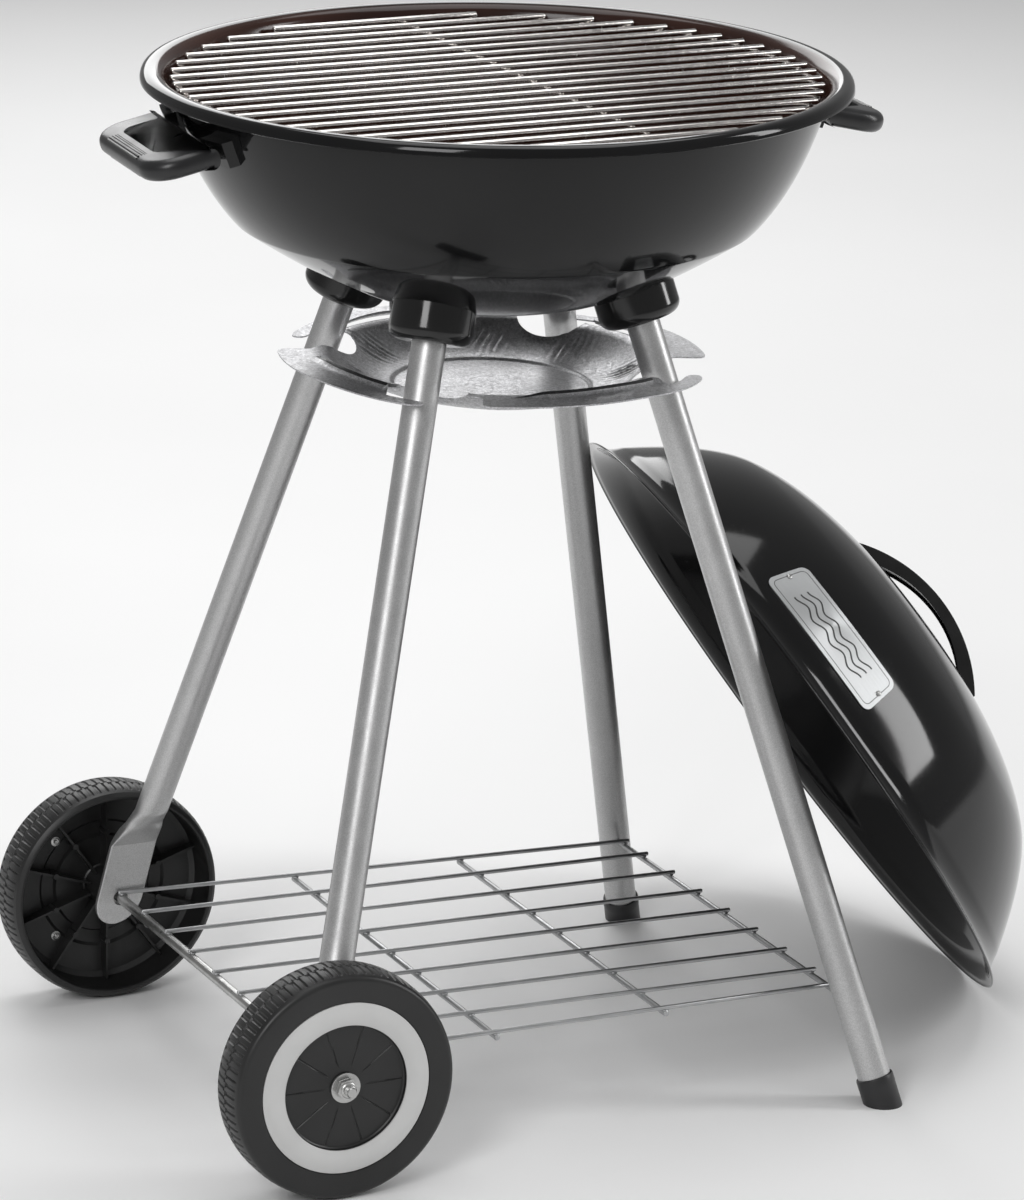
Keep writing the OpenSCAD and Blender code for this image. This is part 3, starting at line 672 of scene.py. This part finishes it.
def bowl_solid(grow):
    """The bowl filled up to its rim, for cutting pieces to its shape."""
    path = [(max(r, 0), z) for r, z in moved(bowl_profile(12), -grow)]
    above = RIM_Z + 40
    # the crease and the lower wall are within the first 30 points
    return revolve([(0, FLOOR_Z - grow)] + path[1:30] + [(RIM_R, above), (0, above)], 128)


def on_leg(leg, side, z):
    """A matrix that puts a piece on a leg's line at a height, with its Z axis along the leg."""
    point = leg_at(leg, side, z)
    return facing(point, leg_at(leg, side, LEG_END_Z) - point)


def leg_socket(name, node, leg, side):
    """A moulded cup with a seam lip and a domed roof that runs into the bowl's underside."""
    r, bore, bottom_round = 27.3, 11.15, 8
    corner = arc(bottom_round, -90, 0, 15, (r - bottom_round, bottom_round))
    roof = [(r - 1.3 - 14 * (1 - cos(radians(5 * i))), 28.6 + 17 * sin(radians(5 * i)))
            for i in range(17)]
    seam = [(r, 24), (r, 26.6), (r + 0.9, 26.9), (r + 0.9, 28.1), (r - 0.9, 28.5)]
    inside = [(6, 60), (3.1, 60), (3.1, 12), (bore, 12)]
    profile = [(bore, 0.6), (11.6, 0)] + corner + seam + roof + inside
    obj = piece(name, revolve(profile, 96), "frame", [gloss_plastic], [node],
                on_leg(leg, side, SOCKET_Z), sharp=26)
    cut(obj, Shape().add(bowl_solid(0.1)))


def foot_leg(name, node, side):
    """A straight tube that stops inside its cap."""
    cap_floor = 7
    p, q = leg_at(FOOT_LEG, side, cap_floor), leg_at(FOOT_LEG, side, LEG_TOP_Z)
    points = [p + (q - p) * i / 12 for i in range(13)]
    piece(name, tube(points, TUBE_R, 48, round_end=0.1), "frame", [silver_paint], [node])


def foot_cap(name, node, side):
    """A moulded cap with a thicker collar, cut level with the floor."""
    low = leg_at(FOOT_LEG, side, 0)
    profile = [(0, -7), (12.4, -7), (12.5, 0), (12.5, 13), (12.6, 13.4), (12.6, 18.6), (12.3, 19.6),
               (11.2, 20), (11.05, 19.5), (11.05, 6), (0, 6)]
    obj = piece(name, revolve(profile, 64), "frame", [cap_plastic], [node],
                on_leg(FOOT_LEG, side, 0))
    cut(obj, Shape().add(box((low.x - 40, low.y - 40, -40), (low.x + 40, low.y + 40, 0))))


for tag, side in (("near", -1), ("far", 1)):
    leg_socket("cup_wheel_" + tag, "socket_wheel_" + tag, WHEEL_LEG, side)
    leg_socket("cup_foot_" + tag, "socket_foot_" + tag, FOOT_LEG, side)
    wheel_leg("wheel_leg_" + tag, "leg_wheel_" + tag, side)
    foot_leg("foot_leg_" + tag, "leg_foot_" + tag, side)
    foot_cap("rubber_foot_" + tag, "foot_cap_" + tag, side)


def axle_profile():
    """Half the axle from its middle to its threaded end."""
    thread_from, end, root_r = 206, 224, 3.05
    points = [(AXLE_R, 0), (AXLE_R, thread_from)]
    for z in range(thread_from, end - 1):
        points += [(AXLE_R, z + 0.25), (root_r, z + 0.6), (AXLE_R, z + 0.95)]
    return points + [(2.9, end), (0, end)]


def make_axle():
    half = axle_profile()
    full = [(r, -z) for r, z in reversed(half)] + half[1:]
    piece("axle", revolve(full, 40), "frame", [zinc], ["axle_rod"],
          at(*AXLE) @ rot(-90, "X"), sharp=25)
    nuts = Shape()
    corner_r, bore = 6.93, 3.56
    levels = [(HUB_FACE + h, inset) for h, inset in ((2, 0.5), (2.5, 0), (5.6, 0), (6.2, 0.7))]
    collar = lifted([(bore, 6), (5.4, 6), (5.3, 6.8), (4.7, 7.4), (bore, 7.5)], HUB_FACE)
    for side in (-1, 1):
        place = at(*AXLE) @ rot(-90 * side, "X")
        nuts.add(slab(circle(6, corner_r, 10)[::-1], levels), place)
        nuts.add(revolve(collar, 40), place)
    piece("lock_nuts", nuts, "frame", [zinc], ["axle_nuts"], sharp=25, bevel=0.15)


make_axle()


# ---- shelf ----

LONG_R, CROSS_R = 1.5, 2
CROSS_XS = (-66, 58, 184)
SHELF_END_X, SHELF_DROP, SHELF_PITCH, SHELF_TAPER = CROSS_XS[-1], 7.6, 42.2, 12
SHELF_Z = AXLE.z + AXLE_R + LONG_R + WELD_GAP


def shelf_z(x):
    return SHELF_Z - SHELF_DROP * (x - AXLE.x) / (SHELF_END_X - AXLE.x)


def make_shelf():
    """Nine long wires welded on three cross wires, with the outer two leaning inwards."""
    shape = Shape()
    half = 4 * SHELF_PITCH
    bead = [(0, -0.8), (1.9, -0.7), (2.5, 0), (1.9, 0.7), (0, 0.8)]
    for i in range(-4, 5):
        y = SHELF_PITCH * i
        inwards = -SHELF_TAPER * i / 4 if abs(i) == 4 else 0
        end = Vector((SHELF_END_X + 4, y + inwards, shelf_z(SHELF_END_X + 4)))
        start = Vector((AXLE.x - 3, y, shelf_z(AXLE.x - 3)))
        shape.add(wire(start, end, LONG_R, 14))
        # flattened weld beads on the axle and on the cross wires
        for x, low in ((AXLE.x, 1.3), *((x, 1.6) for x in CROSS_XS)):
            p = start + (end - start) * ((x - start.x) / (end.x - start.x))
            shape.add(revolve(bead, 14), at(p.x, p.y, p.z - low))
    for x in CROSS_XS:
        z = shelf_z(x) - LONG_R - CROSS_R + WELD_GAP
        reach = half + 3 - SHELF_TAPER * (x - AXLE.x) / (SHELF_END_X - AXLE.x)
        if x == SHELF_END_X:
            reach = leg_at(FOOT_LEG, 1, shelf_z(x)).y - 2
        shape.add(wire((x, -reach, z), (x, reach, z), CROSS_R, 16))
    piece("shelf_wires", shape, "frame", [shelf_wire], ["bottom_shelf"])


make_shelf()


# ---- wheels ----

BLOCKS, SPOKES = 84, 10
WHEEL_MID = (WHEEL_BACK + WHEEL_FACE) / 2


def tread_depth(angle, z):
    """How deep the moulded tread is at a place: two rows of blocks and a stepped centre line."""
    cell = angle / (2 * pi) * BLOCKS
    across = z - WHEEL_MID
    phase = (cell + (0 if across < 0 else 0.5)) % 1
    step = 1.1 if int((cell * 2) % 2) else -1.1
    if abs(across - step) < 0.9:
        return 1.0
    if 1.5 < abs(across) < 13.5 and phase < 0.17:
        return 0.8
    if 6.6 < abs(across) < 7.6 and phase < 0.62:
        return 0.6
    return 0.0


def wheel_profile(angle):
    """Closed profile of a wheel, outwards along its axle, for one angle."""
    pitch = 360 / SPOKES
    from_spoke = radians(abs((degrees(angle) + pitch / 2) % pitch - pitch / 2))
    bore = AXLE_R + 0.2
    points = lifted([(bore, 0.3), (9.8, 0.3), (10.8, 1.2)], WHEEL_BACK)
    points += lifted([(13, -6), (14, -5.2), (34, -5.2), (35.5, -3.2), (44, -3.6), (46, -5.2),
                      (64, -7), (67.5, -9), (68.4, -14)], HUB_FACE)
    # crowned tread
    tread = lifted([(68.6, 0.8), (69.2, 0), (70.6, 0), (71.6, 0.5)], WHEEL_BACK)
    steps = 30
    for i in range(steps + 1):
        z = WHEEL_BACK + 2 + (WHEEL_FACE - 4 - WHEEL_BACK) * i / steps
        u = (z - WHEEL_MID) / (WHEEL_FACE - WHEEL_MID)
        # the shoulder falls away further on the back than on the face
        crown = WHEEL_R - (3.8 if u < 0 else 2.6) * abs(u) ** 3.2
        tread.append((crown - tread_depth(angle, z), z))
    tread += curve(tread[-1], (WHEEL_R - 3.0, WHEEL_FACE), (WHEEL_R - 5.5, WHEEL_FACE), 5)
    points += tread
    points += lifted([(66, -0.15), (58.4, -0.25), (57.6, -0.5), (57.3, -1.6), (41.8, -1.6)], WHEEL_FACE)
    points += lifted([(41.4, -0.3), (40.6, -1)], HUB_FACE)
    # a fine line over each spoke on the hub's disc
    for r in (40, 34, 28, 22, 16.5):
        line = 0.45 if from_spoke * r < 0.42 else 0
        points.append((r, HUB_FACE - 1.0 - line + (40 - r) * 0.02))
    return points + lifted([(14, -0.3), (bore, 0)], HUB_FACE)


def make_wheel(tag, side):
    body = tag + "_wheel"
    place = at(*AXLE) @ rot(-90 * side, "X")
    shape = Shape().add(revolve(wheel_profile, BLOCKS * 6))
    pin = lifted([(0, -15.8), (2, -15.8), (2.3, -6), (0, -6)], HUB_FACE)
    for i in range(SPOKES):
        turn = rot((i + 0.5) * 360 / SPOKES, "Z")
        shape.add(box((11, -0.8, HUB_FACE - 15), (68, 0.8, HUB_FACE - 4)), turn)
        shape.add(revolve(pin, 20), turn @ at(39.5, 0, 0))
    piece("wheel_body_" + tag, shape, body, [wheel_plastic], ["wheel_" + tag],
          place, sharp=24)
    ring = lifted([(42, -1.5), (42, -0.5), (42.6, 0), (56.4, 0), (57, -0.5), (57, -1.5)], WHEEL_FACE)
    piece("trim_" + tag, revolve(ring, 128), body, [grey_plastic],
          ["trim_ring_" + tag], place, sharp=50)
    # toothed push nuts on the ring's studs, behind the web
    nuts = Shape()
    back = HUB_FACE - 5.6
    nut = lifted([(1.3, 0), (1.3, -0.7), (1.9, -0.9), (2.7, -0.5), (3.3, -0.4), (3.3, 0)], back)
    stud = lifted([(0, -1.2), (0.8, -1.2), (1.1, -0.9), (1.1, 0), (0, 0)], back)
    for i in range(4):
        where = rot(90 * (i + 0.5), "Z") @ at(48.5, 0, 0)
        nuts.add(revolve(nut, 28), where)
        nuts.add(revolve(stud, 20), where)
    piece("push_nuts_" + tag, nuts, body, [zinc], ["trim_clips_" + tag], place)


make_wheel("near", -1)
make_wheel("far", 1)


# ---- ash pan ----

PAN_DEEP, SPREAD_R, SHEET_T = 21, 69, 1.0
SLIT_IN, SLIT_MID, SLIT_OUT, TONGUE_R = 114.6, 115.3, 116, 129.6
POCKET_R, POCKET_DEEP, POCKET_HALF, POCKET_TURN = 113, 19.5, 24, 3
# each leg, the angle its slit covers and the angle that the tongue's tip reaches past the leg
SLOTS = ((FOOT_LEG, 1, 54, 5), (WHEEL_LEG, 1, 68, 0), (WHEEL_LEG, -1, 54, 4), (FOOT_LEG, -1, 68, 5))


def pan_height(r):
    """Height of the pan's underside above its flange, at a radius."""
    if r < 64:
        return -PAN_DEEP
    if r < 66:
        return -PAN_DEEP + 1.5 * (r - 64) / 2
    if r < 104:
        u = (r - 66) / 38
        # a curve that lies flat near the middle and stands up towards the flange
        return 1.5 - PAN_DEEP + 17.5 * (0.32 * u + 0.68 * u ** 2.6)
    if r < 112:
        return -2 * (1 - (r - 104) / 8) ** 2
    return 0


def pan_outline():
    """The legs' angles and the pan's edge, with a pocket, a mouth and a long slit for each leg."""
    legs = []
    for leg, side, slit, tip in SLOTS:
        p = leg_at(leg, side, PAN_Z)
        legs.append((degrees(atan2(p.y, p.x)) % 360, slit, tip))
    legs.sort()
    mid = radians(POCKET_TURN)
    pocket = []
    for i in range(2, 47):
        t = radians(180 * i / 48)
        r, wide = POCKET_R - POCKET_DEEP * sin(t) ** 0.8, POCKET_HALF * cos(t)
        pocket.append((r * cos(mid) + wide * sin(mid), r * sin(mid) - wide * cos(mid)))
    mouth = ((115.5, 16.4), (116.5, 18.4), (118.5, 19.8), (122, 20.4), (128, 20.4), (134, 20.4),
             (138, 20.8), (140.3, 22))
    outline = []
    for k, (az, slit, tip) in enumerate(legs):
        rounded_tip = (curve((PAN_R, tip - 5), (PAN_R, tip), (135, tip), 6)
                       + curve((135, tip), (130, tip), (TONGUE_R, tip - 4), 6)[1:])
        steps = int(slit * 1.4)
        here = ([polar(r, v) for r, v in rounded_tip]
                + arc(TONGUE_R, tip - 5, -8.6, 12)
                + [polar(r, -8.6 - (TONGUE_R - r) * 0.22) for r in (126.5, 123.5, 120.5, 118)]
                + arc(SLIT_OUT, -11.5, -slit, steps)
                + [polar(r, -slit - 0.5) for r in (115.6, 115.0)]
                + arc(SLIT_IN, -slit, -9.2, steps) + pocket + [polar(r, v) for r, v in mouth])
        turn = radians(az)
        outline += [(x * cos(turn) - y * sin(turn), x * sin(turn) + y * cos(turn))
                    for x, y in here]
        next_az, _, next_tip = legs[(k + 1) % 4]
        gap = (next_az - az) % 360
        outline += arc(PAN_R, az + 23.6, az + gap + next_tip - 5.6, int(gap * 0.7))
    return legs, outline


def past(az, x, y):
    """How many degrees a point lies past an angle, from -180 to 180."""
    return (degrees(atan2(y, x)) - az + 180) % 360 - 180


def smooth(u):
    """0 up to 0, 1 from 1 on, and an even ease between."""
    u = min(1, max(0, u))
    return u * u * (3 - 2 * u)


def wrinkles(x, y, legs):
    """Height of the fine stamping wrinkles beside each pocket."""
    r = hypot(x, y)
    z = 0.0
    for k, (az, _, _) in enumerate(legs):
        off = past(az, x, y)
        for middle, lean in ((-13, -1), (25, 1)):
            u, v = (off - middle) / 8.5, (r - 90) / 13
            near = exp(-u * u * u * u - v * v)
            if near > 0.02:
                phase = 1.9 * (off - middle) * r / 90 + lean * 0.35 * (r - 90)
                warp = 0.9 * sin(0.21 * r + 1.3 * k) + 0.6 * sin(0.5 * off + 2 * k)
                z += near * (0.5 * sin(phase + warp) + 0.2 * sin(1.7 * phase + 2 * warp))
    return z


def slot_form(r, edge, off, slit, tip):
    """How far the sheet is pressed up or down beside a slot, edge being the way to the outline."""
    if not -slit < off < 26:
        return 0.0
    ends = smooth((off + slit) / 12)
    if r > SLIT_MID and off < tip + 1:
        # the tongue outside the slit droops, with its inner edge turned up
        turned_up = smooth((125 - r) / 5 + (1 if off > -9 else 0))
        return (3.6 * ends * exp(-(edge / 2.8) ** 2) * turned_up
                - 3.2 * smooth((off + 34) / 36))
    if r < SLIT_MID:
        # the slit's inner edge dips, and the pocket's edge beside the leg is raised
        return (1.5 * smooth((off + 10) / 5) * smooth((17 - off) / 6) * exp(-(edge / 2.2) ** 2)
                - 1.4 * ends * smooth((-6 - off) / 6) * exp(-(edge / 2.4) ** 2))
    return 0.0


def pan_points(outline, fine):
    """The outline and rings of points inside it, none close to the outline."""
    points = [Vector(p) for p in outline]
    radii = [0, 14, 28, 40, 50, 58, 62, 62.8, 63.4, 63.9, 64.4, 65, 66, 67.5]
    radii += [SPREAD_R + 1.35 * i for i in range(33)] + [113, 114, 115, 116, 117, 118, 119.5, 121]
    radii += [123.5 + 2.6 * i for i in range(6)] + [138.6, 140.2]
    for k, r in enumerate(radii):
        count = 1 if r == 0 else 36 if r < 45 else 180 if r < SPREAD_R else 400
        for i in range(count):
            a = 2 * pi * (i + 0.5 * (k % 2)) / count
            x, y = r * cos(a), r * sin(a)
            if fine.find((x, y, 0))[2] > 0.55:
                points.append(Vector((x, y)))
    return points


def make_pan():
    """A stamped sheet: a flat mesh of the outline, lifted point by point and given a thickness."""
    legs, outline = pan_outline()
    fine = KDTree(4 * len(outline))
    for i, (p, q) in enumerate(zip(outline, outline[1:] + outline[:1])):
        for k in range(4):
            fine.insert((p[0] + (q[0] - p[0]) * k / 4, p[1] + (q[1] - p[1]) * k / 4, 0), 4 * i + k)
    fine.balance()
    flat, _, tris, *_ = delaunay_2d_cdt(pan_points(outline, fine), [], [list(range(len(outline)))], 1, 1e-4)
    low = []
    for v in flat:
        r = v.length
        z = pan_height(r)
        if r > SPREAD_R:
            edge = fine.find((v.x, v.y, 0))[2]
            z += sum(slot_form(r, edge, past(az, v.x, v.y), slit, tip) for az, slit, tip in legs)
            z += wrinkles(v.x, v.y, legs)
        # the sheet is not quite true
        z += 0.25 * sin(0.05 * v.x + 1) * sin(0.043 * v.y)
        low.append((v.x, v.y, z))
    high = [(x, y, z + SHEET_T) for x, y, z in low]
    mats = []
    for f in tris:
        x, y = sum(flat[i].x for i in f) / 3, sum(flat[i].y for i in f) / 3
        # painted shade: the edge turned up along the slit gets a near-black copy of the galvanised sheet
        lip = (SLIT_MID < hypot(x, y) < 118
               and any(-slit < past(az, x, y) < -12 for az, slit, _ in legs))
        mats.append(1 if lip else 0)
    faces = sheet_faces([list(f) for f in tris], len(low))
    mats += mats + [0] * (len(faces) - 2 * len(mats))
    shape = Shape().add((low + high, faces), mat=mats)
    piece("ash_pan_sheet", shape, "ash_pan_body",
          [galvanised_sheet, painted_shade_sheet], ["ash_pan"], at(0, 0, PAN_Z) @ rot(1.2, "Y"), sharp=38)


make_pan()


# ---- lid ----

SHOULDER = (163, LID_H - 32.5 - LID_T)
BASE_R = LID_R - 15


def lid_profile(n):
    """The lid's inside from the crown to the rim, in the lid's own frame."""
    return ([(0, LID_H - LID_T)]
            + curve((0, LID_H - LID_T), (111, LID_H - LID_T), SHOULDER, 3 * n)
            + curve(SHOULDER, (187, LID_H - 48.5 - LID_T), (BASE_R - LID_T, 15), 3 * n)
            + curve((BASE_R - LID_T, 15), (BASE_R + 3, 5), (LID_R - 5, 1.5), n)
            + curve((LID_R - 5, 1.5), (LID_R - LID_T, 1), (LID_R - LID_T, 0.1), n))


def lid_outside():
    return moved(lid_profile(12), LID_T)


def crown_height(r):
    """Height of the lid's outside at a radius."""
    path = lid_outside()
    for (r0, z0), (r1, z1) in zip(path, path[1:]):
        if r0 <= r <= r1:
            return z0 + (z1 - z0) * (r - r0) / (r1 - r0)
    return path[-1][1]


def make_lid():
    inner = lid_profile(12)
    outer = moved(inner, LID_T)
    outer[0] = (0, LID_H)
    outer[-1] = (LID_R, 0.3)
    profile = inner + [(LID_R - 0.6, 0)] + outer[::-1]
    obj = piece("lid_dome", revolve(profile, KETTLE_SEGS), "lid", [black_enamel],
                ["lid_shell"], LID_PLACE, sharp=18)
    # vent holes under the damper, on the lid's lower side
    r = 92
    slope = atan2(crown_height(r - 2) - crown_height(r + 2), 4)
    place = (LID_PLACE @ rot(PLATE_DEG + 180, "Z") @ at(r, 0, crown_height(r))
             @ Matrix.Rotation(slope, 4, "Y"))
    holes = Shape()
    for x, y in circle(4, 17):
        holes.add(cylinder(5.5, -10, 10, 32), at(x, y, 0))
    cut(obj, holes, place)


def arc_heights(half, rise, base, xs):
    """Heights at xs of an arc that rises by rise over its half width, from a base height."""
    r = (half * half + rise * rise) / (2 * rise)
    return [(x, base + rise - r + sqrt(r * r - x * x)) for x in xs]


def make_lid_handle():
    """A bent strap on two feet, round-edged, across the lid's crown."""
    half, rise, half_w = 67, 19.5, 11
    inner_half, inner_rise, screw_x = 50, 15.4, 55
    end = half - 1.2
    outer = arc_heights(half, rise + 3, LID_H - 3, [-end] + spread(-end, end, 60))
    foot = [(x, crown_height(x) + 0.1) for x in (half - 0.6, half - 6, half - 11, inner_half + 2)]
    inner = arc_heights(inner_half, inner_rise, LID_H, [inner_half] + spread(inner_half, -inner_half, 40))
    points = outer + foot + inner + [(-x, h) for x, h in reversed(foot)]
    radii = [2.2] * len(outer) + [1.0] * len(foot) + [1.4] * len(inner) + [1.0] * len(foot)
    across = LID_PLACE @ rot(PLATE_DEG - 90, "Z")
    piece("lid_strap_handle", slab(points, round_levels(-half_w, half_w, radii, 5)), "lid",
          [gloss_plastic], ["lid_handle"], across @ rot(90, "X"), sharp=30)
    # its two screws, with their heads inside the lid and their ends inside the strap's feet
    profile = lifted([(0, 0), (5.4, 0), (6, 0.6), (6, 2.4), (2.5, 2.5), (2.5, 12.5), (0, 12.5)], LID_H - 11.5)
    screws = Shape()
    for side in (-1, 1):
        screws.add(revolve(profile, 28), at(side * screw_x, 0, 0))
    piece("lid_strap_screws", screws, "lid", [zinc], ["lid_handle_screws"], across)


def surface_path():
    """(distance along, (radius, height)) of the points of the lid's outside."""
    path = lid_outside()
    out, along = [], 0.0
    for p, before in zip(path, path[:1] + path):
        along += dist(p, before)
        out.append((along, p))
    return out


SURFACE = surface_path()
PLATE_Z, PLATE_R = 38, 204
PLATE_MID = min(SURFACE, key=lambda s: abs(s[1][1] - PLATE_Z))[0]


def on_plate(u, v, w):
    """A point of the name plate: u along it, v down the lid, w out of the lid."""
    along = PLATE_MID + v
    for (s0, p0), (s1, p1) in zip(SURFACE, SURFACE[1:]):
        if s0 <= along <= s1:
            t = (along - s0) / (s1 - s0)
            r, z = p0[0] + (p1[0] - p0[0]) * t, p0[1] + (p1[1] - p0[1]) * t
            nx, nz = -(p1[1] - p0[1]), p1[0] - p0[0]
            length = hypot(nx, nz)
            r, z = r + nx / length * w, z + nz / length * w
            return (*polar(r, PLATE_DEG + degrees(u / PLATE_R)), z)
    raise ValueError("the plate reaches past the lid")


PLATE_U, PLATE_V, PLATE_CORNER, PLATE_GAP, PLATE_T = 53.4, 18, 6, 0.15, 0.8
PLATE_TOP = PLATE_GAP + PLATE_T


def make_plate():
    """A sheet with rounded corners, bent to the lid."""
    cols, rows = 61, 17
    verts, uvs = [], []
    for w in (PLATE_GAP, PLATE_TOP):
        for i in range(cols):
            # columns lie closer together towards the ends, where the corners are
            u = PLATE_U * sin(pi / 2 * (2 * i / (cols - 1) - 1) * 0.999)
            over = max(0, abs(u) - (PLATE_U - PLATE_CORNER))
            reach = PLATE_V - (PLATE_CORNER - sqrt(max(PLATE_CORNER ** 2 - over ** 2, 0)))
            for j in range(rows):
                v = reach * (2 * j / (rows - 1) - 1)
                verts.append(on_plate(u, v, w))
                uvs.append((u / 100, v / 100))
    faces = sheet_faces(grid_faces(cols, rows), cols * rows)
    mesh = Shape().add((verts, faces)).mesh("plain_plate")
    layer = mesh.uv_layers.new(name="along")
    for loop in mesh.loops:
        layer.data[loop.index].uv = uvs[loop.vertex_index]
    mesh.materials.append(brushed_plate)
    clean(mesh)
    mesh.transform(TO_FRAME @ LID_PLACE)
    finish_piece("plain_plate", mesh, "lid", ["name_plate"], 40)


def stroke(path, width, closed=False):
    """A thin printed line on the plate."""
    verts = []
    for a, b in zip(moved(path, width / 2, closed), moved(path, -width / 2, closed)):
        for w in (PLATE_TOP - 0.05, PLATE_TOP + 0.05):
            verts += [on_plate(*a, w), on_plate(*b, w)]
    count = len(path)
    faces = []
    for i in range(count if closed else count - 1):
        k, m = 4 * i, 4 * ((i + 1) % count)
        faces += [[k, m, m + 2, k + 2], [k + 1, k + 3, m + 3, m + 1],
                  [k + 2, m + 2, m + 3, k + 3], [k, k + 1, m + 1, m]]
    if not closed:
        end = 4 * count - 4
        faces += [[0, 2, 3, 1], [end, end + 1, end + 3, end + 2]]
    return verts, faces


def make_plate_print():
    """A border and three heat waves, in place of the plate's wording."""
    margin, corner = 3.2, 4
    border = []
    for cx, cy, start in ((1, 1, 0), (-1, 1, 90), (-1, -1, 180), (1, -1, 270)):
        middle = (cx * (PLATE_U - margin - corner), cy * (PLATE_V - margin - corner))
        border += arc(corner, start, start + 90, 6, middle)
    dense = []
    for (ax, ay), (bx, by) in zip(border, border[1:] + border[:1]):
        steps = max(1, int(hypot(bx - ax, by - ay) / 3))
        dense += [(ax + (bx - ax) * k / steps, ay + (by - ay) * k / steps) for k in range(steps)]
    lines = Shape().add(stroke(dense, 0.5, True))
    for row in (-6, 0, 6):
        wave = [(u, row + 2.0 * sin(2 * pi * u / 19)) for u in range(-34, 35)]
        lines.add(stroke(wave, 1.3))
    piece("plate_lines", lines, "lid", [ink], (), LID_PLACE)


def make_plate_rivets():
    rivets = Shape()
    dome = [(0, -1), (2, -1), (2, 0.35), (1.75, 0.8), (1.1, 1.1), (0.45, 1.15), (0.4, 0.7), (0, 0.7)]
    for u in (-49.3, 49.3):
        foot, out = (Vector(on_plate(u, 0, w)) for w in (PLATE_TOP, PLATE_TOP + 1))
        rivets.add(revolve(dome, 28), facing(foot, out - foot))
    piece("plate_rivet_heads", rivets, "lid", [zinc], ["plate_rivets"], LID_PLACE)


make_lid()
make_lid_handle()
make_plate()
make_plate_print()
make_plate_rivets()


# ---- floor, light and camera ----

def stage_look(name, low, high):
    look = Look(name, 0.75)
    look.colour(look.ramp(look.noise(1.2, 3), (0.3, low), (0.7, high)))
    look.bump(look.noise(180, 3), 0.05, 0.15)
    return look.mat


def make_stage():
    """A plain pale floor, in metres."""
    half = 14
    corners = [(-half, -half, 0), (half, -half, 0), (half, half, 0), (-half, half, 0)]
    mesh = Shape().add((corners, [[0, 1, 2, 3]])).mesh("floor")
    mesh.materials.append(stage_look("pale_floor", (0.86, 0.86, 0.86), (0.9, 0.9, 0.9)))
    new_object("floor", mesh)


def area_light(name, at_m, target_m, size, size_y, power):
    data = bpy.data.lights.new(name, "AREA")
    data.shape = "RECTANGLE"
    data.size, data.size_y = size, size_y
    data.energy = power
    obj = new_object(name, data)
    obj.location = at_m
    obj.rotation_euler = (Vector(target_m) - Vector(at_m)).to_track_quat("-Z", "Y").to_euler()


make_stage()
area_light("key", (-2.6, -2.4, 2.6), (0, 0, 0.4), 1.2, 2.0, 56)
area_light("side", (2.9, -1.2, 1.7), (0.1, 0, 0.4), 0.6, 2.0, 36)
area_light("top", (0.2, 0.4, 3.2), (0, 0, 0.5), 2.4, 2.4, 48)
area_light("back", (0.6, 3.2, 1.9), (0, 0, 0.4), 2.2, 1.6, 32)

world = bpy.data.worlds.new("studio")
world.use_nodes = True
background = world.node_tree.nodes["Background"]
background.inputs["Color"].default_value = (1, 1, 1, 1)
background.inputs["Strength"].default_value = 0.3
bpy.context.scene.world = world

CAMERA_AT = Vector((-1652.5, -3514.3, 1485.6))
CAMERA_AZ, CAMERA_EL, CAMERA_ROLL = -25.42, 16.755, 1.136
CAMERA_SENSOR, CAMERA_LENS = 36, 183.66


def make_camera():
    """The photograph's view: a place, a direction and a slight roll."""
    az, el, roll = (radians(v) for v in (CAMERA_AZ, CAMERA_EL, CAMERA_ROLL))
    back = Vector((sin(az) * cos(el), -cos(az) * cos(el), sin(el)))
    right = Vector((cos(az), sin(az), 0))
    up = back.cross(right)
    rolled_right = cos(roll) * right + sin(roll) * up
    rolled_up = cos(roll) * up - sin(roll) * right
    data = bpy.data.cameras.new("camera")
    data.sensor_width = CAMERA_SENSOR
    data.lens = CAMERA_LENS
    camera = new_object("camera", data)
    turn = Matrix((rolled_right, rolled_up, back)).transposed().to_4x4()
    camera.matrix_world = Matrix.Translation(TO_FRAME @ CAMERA_AT) @ turn
    bpy.context.scene.camera = camera


make_camera()
bpy.context.scene.view_settings.view_transform = "Standard"
